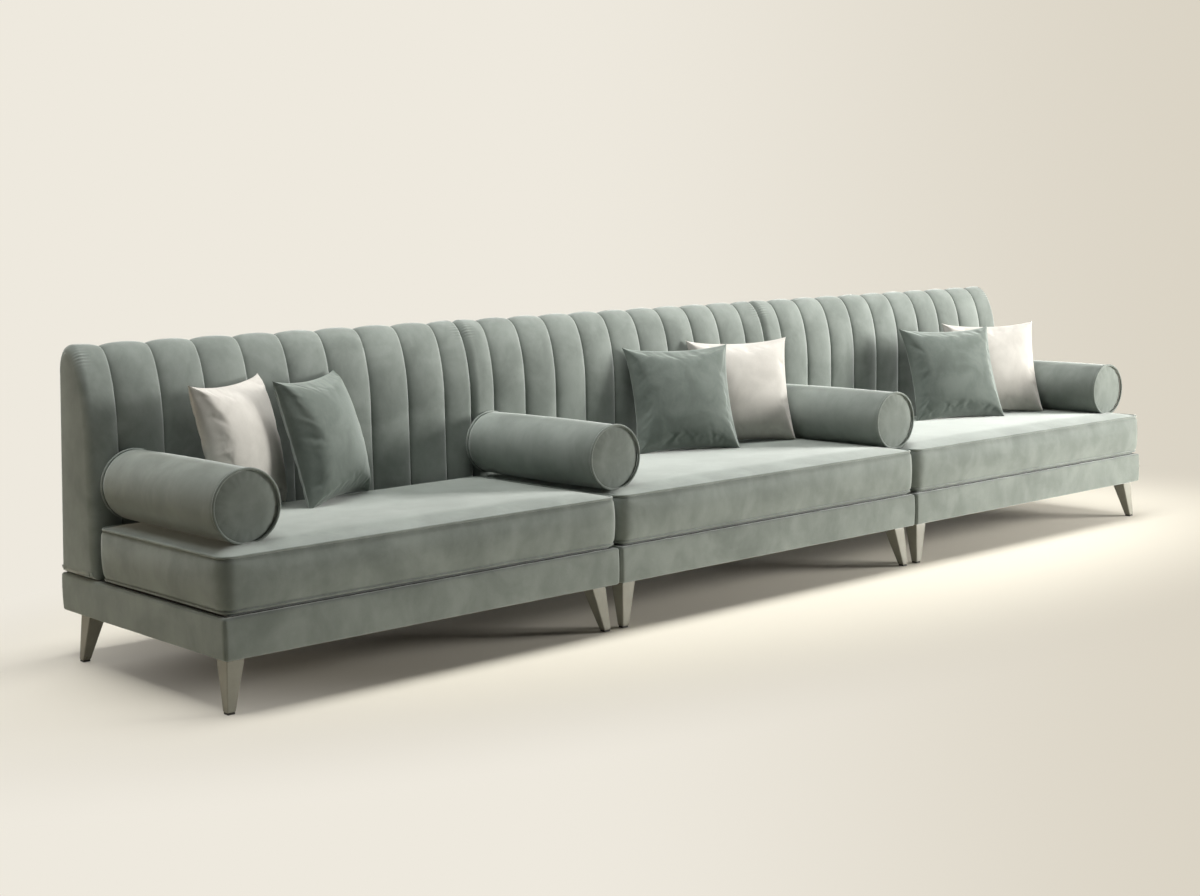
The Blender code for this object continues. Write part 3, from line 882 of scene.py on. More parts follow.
@dataclass(frozen=True)
class Coated:
    """A painted, plated or moulded hard surface with blotches and wear."""

    name: str
    colour: Colour
    worn: Colour
    roughness: tuple[float, float]
    metallic: float = 0.0
    floor: float = FAR_BELOW
    fade: float = 0.03
    scuffs: float = 60.0
    grain: float = 260.0
    dull_share: float = 0.88
    bump: float = 0.12
    bump_depth: float = 0.0004

    def material(self) -> bpy.types.Material:
        """Makes the material from the wear, with a duller colour in the blotches.

        Returns:
            The finished material.
        """
        material, tree, surface, place = open_material(self.name)
        values = {"Place": place, "Scale": self.scuffs, "Floor": self.floor, "Fade": self.fade}
        wear = tree.group(GROUPS.wear, values)
        surface.inputs["Metallic"].default_value = self.metallic
        dull = tuple(self.dull_share * value for value in self.colour)
        tone = tree.mix(tree.spread(wear["Blotch"], 0.3, 0.7, 0.0, 1.0), rgba(dull), rgba(self.colour))
        colour = tree.mix(wear["Mask"], tone, rgba(self.worn))
        gloss = tree.spread(wear["Blotch"], 0.3, 0.7, self.roughness[0], self.roughness[1])
        fine = tree.noise(tree.stretched(place, (1.0, 1.0, 0.2)), self.grain, detail=3.0)
        join(tree, surface, {"Base Color": colour, "Roughness": gloss}, fine, self.bump, self.bump_depth)
        return material


SAGE = Velvet(
    "sage_velvet",
    laid=from_screen(112, 119, 113),
    raised=from_screen(136, 143, 137),
    sheen=from_screen(238, 243, 239),
)
SAGE_PILLOW = Velvet(
    "sage_pillow_velvet",
    laid=from_screen(93, 101, 95),
    raised=from_screen(115, 123, 117),
    sheen=from_screen(228, 236, 230),
    patches=9.0,
)
CREAM = Velvet(
    "cream_pillow_cloth",
    laid=from_screen(189, 186, 179),
    raised=from_screen(206, 203, 196),
    sheen=from_screen(240, 237, 231),
    sheen_weight=0.35,
    patches=9.0,
    contrast=1.2,
)
LEG_PAINT = Coated(
    "leg_paint",
    colour=from_screen(142, 141, 129),
    worn=from_screen(118, 114, 102),
    roughness=(0.34, 0.46),
    floor=0.006,
)
GLIDE_NYLON = Coated(
    "glide_nylon",
    colour=from_screen(44, 42, 38),
    worn=from_screen(70, 66, 60),
    roughness=(0.5, 0.65),
)
ZINC = Coated(
    "zinc_steel",
    colour=from_screen(176, 178, 180),
    worn=from_screen(120, 118, 112),
    roughness=(0.28, 0.45),
    metallic=1.0,
)
FRAME_TIMBER = Timber(
    "frame_timber",
    light=from_screen(206, 172, 122),
    dark=from_screen(158, 118, 74),
    stretch=(1.0, 14.0, 14.0),
    scale=5.0,
)
# Partly painted shade: the seat deck's own woven cloth, coloured near black so that where the deck shows in
# the gap between seat and plinth it reads as a dark shadow line.
DECK_CLOTH_DARKENED_AS_GAP_SHADE = WovenCloth(
    "deck_cloth_painted_gap_shade",
    thread=from_screen(58, 62, 57),
    gap=from_screen(34, 37, 34),
    count=2200.0,
    sheen_weight=0.1,
)
DUST_CLOTH = WovenCloth(
    "dust_cloth",
    thread=from_screen(52, 50, 47),
    gap=from_screen(26, 25, 24),
    count=2600.0,
    sheen_weight=0.0,
)


# Soft pieces


def dress(
    piece: Piece,
    body: str,
    material: bpy.types.Material,
    nodes: Sequence[str] = (),
) -> None:
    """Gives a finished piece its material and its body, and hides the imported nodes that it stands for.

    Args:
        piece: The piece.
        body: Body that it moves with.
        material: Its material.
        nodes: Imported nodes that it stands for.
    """
    piece.data.materials.append(material)
    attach(piece, body)
    if nodes:
        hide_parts(*nodes)
    log.info("piece: %s on %s", piece.name, body)


@dataclass
class SeatCushion:
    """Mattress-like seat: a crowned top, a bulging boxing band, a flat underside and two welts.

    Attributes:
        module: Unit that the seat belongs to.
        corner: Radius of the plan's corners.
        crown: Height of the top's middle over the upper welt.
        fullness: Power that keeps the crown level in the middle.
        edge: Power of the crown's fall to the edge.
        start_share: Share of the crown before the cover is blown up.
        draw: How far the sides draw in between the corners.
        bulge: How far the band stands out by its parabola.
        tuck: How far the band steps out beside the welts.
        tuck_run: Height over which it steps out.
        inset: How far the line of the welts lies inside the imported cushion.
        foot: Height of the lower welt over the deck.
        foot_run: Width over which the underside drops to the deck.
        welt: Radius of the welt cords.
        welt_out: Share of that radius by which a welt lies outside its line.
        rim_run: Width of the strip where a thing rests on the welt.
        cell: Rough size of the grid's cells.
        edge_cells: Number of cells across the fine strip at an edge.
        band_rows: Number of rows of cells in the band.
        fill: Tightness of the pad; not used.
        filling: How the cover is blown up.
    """

    module: Module
    corner: float = 0.036
    crown: float = 0.0193
    fullness: float = 5.0
    edge: float = 0.5
    start_share: float = 0.85
    draw: float = 0.003
    bulge: float = 0.0060
    tuck: float = 0.0070
    tuck_run: float = 0.0075
    inset: float = 0.0095
    foot: float = 0.0140
    foot_run: float = 0.0120
    welt: float = 0.0040
    welt_out: float = 0.75
    rim_run: float = 0.0130
    cell: float = 0.016
    edge_cells: int = 7
    band_rows: int = 20
    fill: float = 0.85
    filling: Filling = Filling(pressure=3.0, reach=0.006, tension=18.0, bending=2.0)

    def __post_init__(self) -> None:
        """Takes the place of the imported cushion."""
        self.node = f"{self.module.value}_seat_cushion"
        self.body = f"{self.module.value}_seat"
        low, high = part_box(self.node)
        self.middle = np.array(((low.x + high.x) / 2, (low.y + high.y) / 2))
        self.half = np.array(((high.x - low.x) / 2, (high.y - low.y) / 2)) - self.inset
        self.low_edge = low.z + self.foot
        self.top = high.z - self.crown
        self.xs, self.ys = (
            steps_between(-half, half, self.corner, self.cell, self.edge_cells) for half in self.half
        )

    def plan(self) -> Array:
        """Grid of the plan: square corners become quarter discs, and the sides draw in between the corners.

        In a corner square with shares a and b, a becomes a * sqrt(1 - b * b / 2), and b likewise. The
        drawing in grows with the square of the share across and fades to the corners with the square of
        the share along.

        Returns:
            Places as rows by columns by two.
        """
        x, y = np.meshgrid(self.xs, self.ys, indexing="ij")
        inner = self.half - self.corner
        a = np.clip((np.abs(x) - inner[0]) / self.corner, 0, 1)
        b = np.clip((np.abs(y) - inner[1]) / self.corner, 0, 1)
        across = x / self.half[0]
        along = y / self.half[1]
        far_x = np.minimum(np.abs(x), inner[0]) + self.corner * a * np.sqrt(1 - b * b / 2)
        far_y = np.minimum(np.abs(y), inner[1]) + self.corner * b * np.sqrt(1 - a * a / 2)
        far_x -= self.draw * across**2 * (1 - along**2)
        far_y -= self.draw * along**2 * (1 - across**2)
        flat = np.stack((np.sign(x) * far_x, np.sign(y) * far_y), axis=-1)
        return flat + self.middle

    def rise(self) -> Array:
        """Crown: the product, across and along, of 1 - |share| ** fullness to the power of edge.

        Returns:
            Shares of the crown from 0 to 1, as rows by columns.
        """
        across = (1 - np.abs(self.xs / self.half[0]) ** self.fullness) ** self.edge
        along = (1 - np.abs(self.ys / self.half[1]) ** self.fullness) ** self.edge
        return across[:, None] * along[None, :]

    def from_edge(self) -> Array:
        """Distance of the plan's grid from the nearest edge."""
        from_end, from_side = self.half[0] - np.abs(self.xs), self.half[1] - np.abs(self.ys)
        return np.minimum(from_end[:, None], from_side[None, :])

    def edge_loop(self, plan: Array) -> Array:
        """Border points of the plan in order."""
        return np.concatenate((plan[:, 0], plan[-1, 1:], plan[-2::-1, -1], plan[0, -2:0:-1]))

    def underside(self) -> Array:
        """Heights of the underside: level beside the lower welt, then down to the deck by a quarter circle.

        Returns:
            Heights as rows by columns.
        """
        run = np.clip(self.from_edge() / self.foot_run, 0, 1)
        return self.low_edge - self.foot * (1 - np.sqrt(1 - run**2))

    def band(self) -> Array:
        """Boxing band between the welts, with rows that lie closer beside them.

        It stands out by a parabola of the height, and by a tuck that dies out as a bell towards the welts.

        Returns:
            Points as rows by places of the edge loop by three.
        """
        tall = self.top - self.low_edge
        level = (1 - np.cos(np.linspace(0, math.pi, self.band_rows + 1))) / 2
        from_seam = np.minimum(level, 1 - level) * tall
        out = self.bulge * (1 - (2 * level - 1) ** 2)
        out += self.tuck * (1 - np.exp(-((from_seam / self.tuck_run) ** 2)))
        places = self.loop[None] + out[:, None, None] * self.normal[None]
        height = self.low_edge + level * tall
        heights = np.broadcast_to(height[:, None, None], (*places.shape[:2], 1))
        return np.concatenate((places, heights), axis=-1)

    def build(self, bench: ClothBench) -> None:
        """Makes the cover from top, underside and band, and lays it on the cloth bench.

        The band is sewn along both welts, and the underside is held on the deck.

        Args:
            bench: Where the cover is blown up.
        """
        plan = self.plan()
        self.loop = self.edge_loop(plan)
        self.normal = loop_normals(self.loop)
        crowned = self.top + start_of(self.start_share) * self.crown * self.rise()
        top = np.concatenate((plan, crowned[..., None]), axis=-1)
        under = np.concatenate((plan, self.underside()[..., None]), axis=-1)
        band = self.band()
        flat = np.ones(under.shape[:2])
        sewn = np.zeros(band.shape[:2])
        sewn[(0, -1), :] = 1.0
        parts = Skin.grid(top) + Skin.grid(under, hold=flat) + Skin.grid(band, wrap_columns=True, hold=sewn)
        self.top_numbers = weld(parts.points)[1][: crowned.size].reshape(crowned.shape)
        skin = parts.welded()
        self.piece = skin.piece(f"{self.module.value}_seat_cover")
        bench.lay(self.piece, skin.hold, self.filling)

    def pressed(self, points: Array) -> Array:
        """Flattens the blown band beside a neighbouring seat, where it stops at the unblown band's bulge.

        Args:
            points: Points of the cover as n by three.

        Returns:
            The moved points.
        """
        reach = self.half[0] + self.bulge + self.tuck
        low = -math.inf if self.module is Module.LEFT else self.middle[0] - reach
        high = math.inf if self.module is Module.RIGHT else self.middle[0] + reach
        moved = points.copy()
        moved[:, 0] = np.clip(points[:, 0], low, high)
        return moved

    def measure(self) -> None:
        """Keeps the heights of the finished top, and of the welt at its rim, for what rests on it."""
        heights = read_points(self.piece)[self.top_numbers, 2]
        rim = np.maximum(heights, self.top + self.welt)
        self.heights = np.where(self.from_edge() < self.rim_run, rim, heights)
        self.passed = np.maximum.accumulate(self.heights, axis=1)

    def heights_under(self, table: Array, x: Array, y: Array, rear: float) -> Array:
        """Heights from a table on the plan's grid under level places, and far below outside the seat.

        Args:
            table: Heights on the plan's grid.
            x: Places along the row.
            y: Places from front to back.
            rear: How far behind the seat's middle the table still counts.

        Returns:
            One height for each place.
        """
        reach = self.half + self.inset + self.welt
        behind = y - self.middle[1]
        inside = (np.abs(x - self.middle[0]) <= reach[0]) & (behind >= -reach[1]) & (behind <= rear)
        found = bilinear(table, self.xs + self.middle[0], self.ys + self.middle[1], x, y)
        return np.where(inside, found, FAR_BELOW)

    def passed_at(self, x: Array, y: Array) -> Array:
        """Highest part of the seat that a thing passes over when it is pulled forward from level places."""
        return self.heights_under(self.passed, x, y, rear=math.inf)

    def height_at(self, x: Array, y: Array) -> Array:
        """Height of the seat's top, or of its welt, under level places."""
        return self.heights_under(self.heights, x, y, rear=self.half[1] + self.inset + self.welt)

    def finish(self, material: bpy.types.Material) -> None:
        """Smooths and dresses the cover and sews the two welts on.

        Args:
            material: The velvet.
        """
        write_points(self.piece, self.pressed(read_points(self.piece)))
        self.measure()
        subdivide(self.piece)
        dress(self.piece, self.body, material, (self.node,))
        cords = []
        for height in (self.top, self.low_edge):
            path = self.loop + self.welt_out * self.welt * self.normal
            path = np.concatenate((path, np.full((len(path), 1), height)), axis=1)
            cords.append(cord_round(path, self.normal, self.welt))
        welts = (cords[0] + cords[1]).piece(f"{self.module.value}_seat_welts")
        dress(welts, self.body, material)


@dataclass
class BackPad:
    """Back of a module: upright channels that sweep back over a rounded top, and flat padded ends.

    Attributes:
        module: Unit that the back belongs to.
        channels: Number of upright channels.
        sweep_height: Height of the part that sweeps back.
        setback: How far the crest lies behind the front.
        shoulder: Depth of the rounding behind the crest.
        drop: Height of that rounding.
        foot_round: Radius of the lower edges.
        end_round: Radius of the upright edges at the ends.
        end_share: Width of an end channel as a share of the others.
        depth: Depth of the seams on the front.
        crest_depth: Depth of the seams on the crest.
        fullness: Power of the channels' roundness.
        end_bulge: How far the row's outer ends stand out.
        gather: Height of the pleats at the top corners.
        gather_pitch: Distance between these pleats.
        gather_drop: Distance of their middle from the crest, along the section.
        gather_reach: Spread of these pleats along the section.
        gather_inset: Their place and spread from the end, as a share of the end's radius.
        across: Number of cells across the bottom and the ends.
        per_channel: Number of cells across a channel.
        foot_steps: Number of points round the foot's edge.
        rise_steps: Number of points up the straight part.
        sweep_steps: Number of points along the sweep.
        end_steps: Number of points round an upright edge.
        cap_fade: Number of rows over which an end's bulge starts.
        fill: Tightness of the pad; not used.
    """

    module: Module
    channels: int
    sweep_height: float = 0.275
    setback: float = 0.115
    shoulder: float = 0.066
    drop: float = 0.095
    foot_round: float = 0.012
    end_round: float = 0.027
    end_share: float = 0.72
    depth: float = 0.025
    crest_depth: float = 0.015
    fullness: float = 2.0
    end_bulge: float = 0.004
    gather: float = 0.0016
    gather_pitch: float = 0.0115
    gather_drop: float = 0.075
    gather_reach: float = 0.028
    gather_inset: float = 0.8
    across: int = 14
    per_channel: int = 16
    foot_steps: int = 6
    rise_steps: int = 24
    sweep_steps: int = 92
    end_steps: int = 9
    cap_fade: int = 10
    fill: float = 0.8

    def __post_init__(self) -> None:
        """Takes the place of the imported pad."""
        self.node = f"{self.module.value}_back_pad"
        self.low, self.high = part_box(self.node)
        self.half = (self.high.x - self.low.x) / 2
        self.middle = (self.high.x + self.low.x) / 2
        self.crest_y = self.low.y + self.setback

    def front_side(self) -> tuple[Array, Array]:
        """Front of the section from the foot to the crest, and how deep the channels are there.

        A quarter circle at the foot, a straight rise, then a quarter ellipse: y = crest - setback * cos,
        z = start + sweep * sin. The depth goes to the crest's with the square of the sine.

        Returns:
            Places (y, z) as n by two, and one depth for each.
        """
        round_turn = np.linspace(0, math.pi / 2, self.foot_steps)
        foot = np.stack(
            (
                self.low.y + self.foot_round * (1 - np.sin(round_turn)),
                self.low.z + self.foot_round * (1 - np.cos(round_turn)),
            ),
            axis=1,
        )
        sweep_z = self.high.z - self.sweep_height
        rise = np.linspace(self.low.z + self.foot_round, sweep_z, self.rise_steps)[1:-1]
        line = np.stack((np.full(len(rise), self.low.y), rise), axis=1)
        turn = np.linspace(0, math.pi / 2, self.sweep_steps)
        sweep_y = self.crest_y - self.setback * np.cos(turn)
        sweep = np.stack((sweep_y, sweep_z + self.sweep_height * np.sin(turn)), axis=1)
        deep = self.depth + (self.crest_depth - self.depth) * np.sin(turn) ** 2
        depth = np.concatenate((self.depth * np.sin(round_turn), np.full(len(rise), self.depth), deep))
        return np.concatenate((foot, line, sweep)), depth

    def rear_side(self, heights: Array) -> tuple[Array, Array]:
        """Rear of the section at the heights of the front's points, and the depth of the channels there.

        Above the shoulder's foot it is a quarter ellipse down from the crest, below it a straight slope,
        and at the bottom a quarter circle. The depth fades over the shoulder.

        Args:
            heights: Heights of the front's points.

        Returns:
            Places (y, z) as n by two, and one depth for each.
        """
        drop_z = self.high.z - self.drop
        rear_y = self.high.y
        above = np.clip((heights - drop_z) / self.drop, 0, 1)
        shoulder = self.crest_y + self.shoulder * np.sqrt(1 - above**2)
        slope = np.clip((drop_z - heights) / (drop_z - self.low.z - self.foot_round), 0, 1)
        straight = self.crest_y + self.shoulder + (rear_y - self.crest_y - self.shoulder) * slope
        below = np.clip(1 - (heights - self.low.z) / self.foot_round, 0, 1)
        tuck = self.foot_round * (1 - np.sqrt(1 - below**2))
        y = np.where(heights > drop_z, shoulder, straight) - tuck
        angle = np.arcsin(np.clip(above, 0, 1)) / (math.pi / 2)
        return np.stack((y, heights), axis=1), self.crest_depth * angle

    def section(self) -> tuple[Array, Array, Array]:
        """Closed section: up the front, down the rear, and back along the bottom.

        Returns:
            Places (y, z), unit directions inwards, and depth of the channels at each place.
        """
        front, front_depth = self.front_side()
        rear, rear_depth = self.rear_side(front[:, 1])
        share = np.linspace(0, 1, self.across + 1)[1:-1, None]
        bottom = rear[0] + (front[0] - rear[0]) * share
        loop = np.concatenate((front, rear[-2::-1], bottom))
        depth = np.concatenate((front_depth, rear_depth[-2::-1], np.zeros(len(bottom))))
        self.side_count = len(front)
        return loop, -loop_normals(loop), depth

    def seams(self) -> tuple[Array, float]:
        """Places of the sewn seams along the module, and the width of a channel."""
        pitch = 2 * self.half / (self.channels - 2 + 2 * self.end_share)
        return -self.half + self.end_share * pitch + pitch * np.arange(self.channels - 1), pitch

    def stations(self) -> tuple[Array, Array, Array]:
        """Places along the module, closer at the seams, with the channels' sinking and the end's rounding.

        With t from 0 on a channel's ridge to 1 on its seam, the sinking is 1 - sqrt(1 - t ** fullness).
        The ends are quarter circles.

        Returns:
            Places, sinking from 0 to 1, and inset of the end's rounding in metres.
        """
        seams, pitch = self.seams()
        knots = np.concatenate(([-self.half + self.end_round], seams, [self.half - self.end_round]))
        share = (1 - np.cos(np.linspace(0, math.pi, self.per_channel + 1)[:-1])) / 2
        inner = (knots[:-1, None] + (knots[1:] - knots[:-1])[:, None] * share[None]).reshape(-1)
        inner = np.append(inner, knots[-1])
        turn = np.linspace(0, math.pi / 2, self.end_steps)[:-1]
        end = self.end_round * (1 - np.cos(turn))
        places = np.concatenate((-self.half + end, inner, (self.half - end)[::-1]))
        rounding = self.end_round * (1 - np.sin(turn))
        inset = np.concatenate((rounding, np.zeros(len(inner)), rounding[::-1]))
        near = np.abs(places[:, None] - seams[None]).min(axis=1)
        t = np.clip(1 - near / (pitch / 2), 0, 1)
        sinking = 1 - np.sqrt(np.maximum(1 - t**self.fullness, 0))
        return places, sinking, inset

    def gathers(self, places: Array, loop: Array) -> Array:
        """Small pleats where the cover turns the top corners of the ends.

        A cosine along the section, within a bell round the upper sweep and a bell at each end.

        Args:
            places: Places along the module.
            loop: The section's places.

        Returns:
            Height of the pleats as places by section points.
        """
        step = np.linalg.norm(np.diff(loop, axis=0, prepend=loop[:1]), axis=1)
        length = np.cumsum(step)
        centre = length[self.side_count - 1] - self.gather_drop
        bell = np.exp(-(((length - centre) / self.gather_reach) ** 2))
        wave = np.cos(2 * math.pi * (length - centre) / self.gather_pitch)
        edge = self.half - np.abs(places)
        heart = self.gather_inset * self.end_round
        strip = np.exp(-(((edge - heart) / heart) ** 2))
        return self.gather * strip[:, None] * (bell * wave)[None, :]

    def end_cap(self, ring: Array, bulge: float) -> Skin:
        """Flat padded end between the front and the rear of the last ring.

        Each pair of points at one height is joined by a straight row, which stands out by a parabola. The
        parabola shrinks to the crest with a root, and to the foot over the first rows.

        Args:
            ring: Points of the last ring.
            bulge: How far the end stands out along the row.

        Returns:
            The skin of the end.
        """
        count = self.side_count
        front = ring[:count]
        rear = np.concatenate((ring[2 * count - 2: count - 1: -1], ring[count - 1: count]))
        share = np.linspace(0, 1, self.across + 1)
        grid = front[:, None] + (rear - front)[:, None] * share[None, :, None]
        grid[0, 1:-1] = ring[2 * count - 1:][::-1]
        full = (4 * share * (1 - share))[None, :] * np.sqrt(np.linspace(1, 0, count))[:, None]
        full *= np.clip(np.arange(count) / self.cap_fade, 0, 1)[:, None]
        grid[..., 0] += bulge * full
        return Skin.grid(grid)

    def build(self, material: bpy.types.Material) -> None:
        """Carries the section along the module, closes the ends and dresses the pad.

        Args:
            material: The velvet.
        """
        loop, inward, depth = self.section()
        places, sinking, inset = self.stations()
        sunk = sinking[:, None] * depth[None] + inset[:, None] - self.gathers(places, loop)
        flat = loop[None] + sunk[..., None] * inward[None]
        x = np.broadcast_to((places + self.middle)[:, None, None], (*sunk.shape, 1))
        rings = np.concatenate((x, flat), axis=-1)
        skin = Skin.grid(rings, wrap_columns=True)
        bulges = {Module.LEFT: (self.end_bulge, 0.0), Module.RIGHT: (0.0, self.end_bulge)}
        left, right = bulges.get(self.module, (0.0, 0.0))
        skin = skin + self.end_cap(rings[0], -left) + self.end_cap(rings[-1], right)
        piece = skin.welded().piece(f"{self.module.value}_back_cover")
        dress(piece, f"{self.module.value}_module", material, (self.node,))


@dataclass
class PlinthCover:
    """Padded wrap round a plinth: soft edges, a little fullness and a seam on each upright corner.

    Attributes:
        module: Unit that the plinth belongs to.
        wall: Thickness of the wrap.
        edge: Radius of the upper and lower edges.
        corner: Radius of the upright corners.
        fullness: How far the sides stand out between the edges.
        seam_depth: Depth of the seam's groove.
        seam_width: Half width of the seam's groove.
        edge_steps: Number of points round an edge.
        side_steps: Number of points up a side.
        straight_steps: Number of points along each straight.
        corner_steps: Number of points round each corner.
        fill: Tightness of the pad; not used.
    """

    module: Module
    wall: float = 0.018
    edge: float = 0.009
    corner: float = 0.014
    fullness: float = 0.0016
    seam_depth: float = 0.0012
    seam_width: float = 0.0014
    edge_steps: int = 7
    side_steps: int = 9
    straight_steps: int = 40
    corner_steps: int = 25
    fill: float = 0.95

    def __post_init__(self) -> None:
        """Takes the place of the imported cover."""
        self.node = f"{self.module.value}_base_cover"
        self.low, self.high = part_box(self.node)

    def profile(self) -> Array:
        """Section of the wrap: rounded outer edges, a parabola between them, and a plain inner wall.

        Returns:
            Closed loop of (inset, height) as n by two.
        """
        turn = np.linspace(0, math.pi / 2, self.edge_steps)
        low, high, edge = self.low.z, self.high.z, self.edge
        lower = np.stack((edge * (1 - np.sin(turn)), low + edge * (1 - np.cos(turn))), axis=1)
        level = np.linspace(0, 1, self.side_steps)[1:-1]
        proud = -self.fullness * 4 * level * (1 - level)
        side = np.stack((proud, low + edge + level * (high - low - 2 * edge)), axis=1)
        upper = np.stack((lower[::-1, 0], low + high - lower[::-1, 1]), axis=1)
        inner = np.array(((self.wall, high), (self.wall, (low + high) / 2), (self.wall, low)))
        return np.concatenate((lower, side, upper, inner))

    def build(self, material: bpy.types.Material) -> None:
        """Carries the profile round the plinth and dresses the cover.

        The seam is a bell-shaped groove on the middle of each corner.

        Args:
            material: The velvet.
        """
        half_x = (self.high.x - self.low.x) / 2 - self.fullness
        half_y = (self.high.y - self.low.y) / 2 - self.fullness
        loop = rounded_rectangle(half_x, half_y, self.corner, self.straight_steps, self.corner_steps)
        normal = loop_normals(loop)
        middle = np.array(((self.high.x + self.low.x) / 2, (self.high.y + self.low.y) / 2))
        heart = np.array((half_x, half_y)) - self.corner * (1 - math.sqrt(0.5))
        from_seam = np.linalg.norm(np.abs(loop) - heart, axis=1)
        groove = self.seam_depth * np.exp(-((from_seam / self.seam_width) ** 2))
        profile = self.profile()
        outer = np.clip(1 - profile[:, 0] / self.wall, 0, 1)
        inset = profile[None, :, 0] + groove[:, None] * outer[None]
        places = loop[:, None] + middle - inset[..., None] * normal[:, None]
        heights = np.broadcast_to(profile[None, :, 1, None], (*inset.shape, 1))
        skin = Skin.grid(np.concatenate((places, heights), axis=-1), wrap_rows=True, wrap_columns=True)
        piece = skin.piece(f"{self.module.value}_plinth_cover")
        dress(piece, f"{self.module.value}_module", material, (self.node,))


@dataclass
class Bolster:
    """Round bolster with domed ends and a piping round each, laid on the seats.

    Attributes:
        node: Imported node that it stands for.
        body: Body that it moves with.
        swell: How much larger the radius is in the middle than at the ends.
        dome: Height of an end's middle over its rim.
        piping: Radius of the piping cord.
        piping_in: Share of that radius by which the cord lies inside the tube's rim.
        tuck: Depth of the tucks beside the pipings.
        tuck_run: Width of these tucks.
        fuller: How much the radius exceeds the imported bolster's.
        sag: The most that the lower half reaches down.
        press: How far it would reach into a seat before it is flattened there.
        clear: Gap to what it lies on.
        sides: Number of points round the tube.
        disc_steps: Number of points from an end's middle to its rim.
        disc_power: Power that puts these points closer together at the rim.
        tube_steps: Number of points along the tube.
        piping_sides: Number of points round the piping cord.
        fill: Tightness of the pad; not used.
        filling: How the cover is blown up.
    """

    node: str
    body: str
    swell: float = 0.003
    dome: float = 0.002
    piping: float = 0.0044
    piping_in: float = 0.3
    tuck: float = 0.0034
    tuck_run: float = 0.006
    fuller: float = 0.0040
    sag: float = 0.0120
    press: float = 0.0050
    clear: float = 0.0008
    sides: int = 84
    disc_steps: int = 25
    disc_power: float = 0.7
    tube_steps: int = 49
    piping_sides: int = 10
    fill: float = 0.9
    filling: Filling = Filling(pressure=2.5, reach=0.0025, tension=20.0, bending=1.0)

    def __post_init__(self) -> None:
        """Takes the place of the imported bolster."""
        low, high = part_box(self.node)
        self.radius = (high.x - low.x) / 2 + self.fuller
        self.half = (high.y - low.y) / 2
        self.axis_x = (low.x + high.x) / 2
        self.middle_y = (low.y + high.y) / 2
        self.axis_z = high.z - self.radius + self.fuller

    def profile(self) -> tuple[Array, Array]:
        """Half section from one pole to the other, and where it is sewn.

        The ends are nearly flat parabolas that dip to the piping as a bell. The tube swells by a parabola,
        with a tuck beside each piping that dies out as a bell.

        Returns:
            The section of (radius, distance along) as n by two, and its hold.
        """
        rim = self.radius - self.swell - self.piping
        share = np.linspace(0, 1, self.disc_steps) ** self.disc_power
        level = self.half - self.piping - self.dome * share**2
        level -= self.tuck * np.exp(-((rim * (1 - share) / self.tuck_run) ** 2))
        disc = np.stack((rim * share, level), axis=1)
        shore = self.half - 2 * self.piping
        along = shore * np.cos(np.linspace(0, math.pi, self.tube_steps))
        body = self.radius - self.swell * (along / shore) ** 2
        body -= self.tuck * np.exp(-(((shore - np.abs(along)) / self.tuck_run) ** 2))
        tube = np.stack((body, along), axis=1)
        mirrored = np.stack((disc[::-1, 0], -disc[::-1, 1]), axis=1)
        section = np.concatenate((disc, tube, mirrored))
        hold = np.zeros(len(section))
        hold[[len(disc) - 1, len(disc), -len(disc) - 1, -len(disc)]] = 1
        return section, hold

    def turned(self, radius: Array, along: Array) -> Array:
        """Turns a section round the bolster's axis: a circle of each radius at each distance along.

        Args:
            radius: Distances from the axis.
            along: Distances along the axis from the bolster's middle.

        Returns:
            Points as section places by sides by three.
        """
        angle = np.linspace(0, 2 * math.pi, self.sides, endpoint=False)
        return np.stack(
            (
                self.axis_x + radius[:, None] * np.cos(angle)[None],
                self.middle_y + np.broadcast_to(along[:, None], (len(along), self.sides)),
                self.axis_z + radius[:, None] * np.sin(angle)[None],
            ),
            axis=-1,
        )

    def build(self, bench: ClothBench) -> None:
        """Turns the section and lays the cover on the cloth bench.

        Args:
            bench: Where the cover is blown up.
        """
        section, hold = self.profile()
        points = self.turned(section[:, 0], section[:, 1])
        held = np.broadcast_to(hold[:, None], points.shape[:2])
        skin = Skin.grid(points, wrap_columns=True, hold=held).welded()
        self.piece = skin.piece(f"{self.node}_cover")
        bench.lay(self.piece, skin.hold, self.filling)

    def pipings(self) -> Skin:
        """A thin ring round each end: a circle carried round the rim.

        Returns:
            The skin of both rings.
        """
        turn = np.linspace(0, 2 * math.pi, self.piping_sides, endpoint=False)
        reach = self.radius - self.swell - self.piping_in * self.piping + self.piping * np.cos(turn)
        rings = []
        for side in (-1, 1):
            along = side * (self.half - self.piping) + self.piping * np.sin(turn)
            ring = np.swapaxes(self.turned(reach, along), 0, 1)
            rings.append(Skin.grid(ring, wrap_rows=True, wrap_columns=True))
        return rings[0] + rings[1]

    def settled(self, points: Array, seats: Sequence[SeatCushion]) -> Array:
        """Lays points on the seats: the lower half reaches down to what it slides over and flattens there.

        The drop grows with the square of the depth below the axis.

        Args:
            points: Points of the bolster as n by three.
            seats: Seats that may carry it.

        Returns:
            The moved points.
        """
        moved = points.copy()
        line_x = np.full(len(points), self.axis_x)
        under = np.max([seat.passed_at(line_x, points[:, 1]) for seat in seats], axis=0)
        bottom = self.axis_z - self.radius
        under = np.where(under > 0, under, bottom)
        drop = np.clip(bottom - under + self.press, 0, self.sag)
        depth = np.clip((self.axis_z - points[:, 2]) / self.radius, 0, 1)
        moved[:, 2] -= drop * depth**2
        floor = np.max([seat.passed_at(moved[:, 0], moved[:, 1]) for seat in seats], axis=0) + self.clear
        moved[:, 2] = np.maximum(moved[:, 2], floor)
        return moved

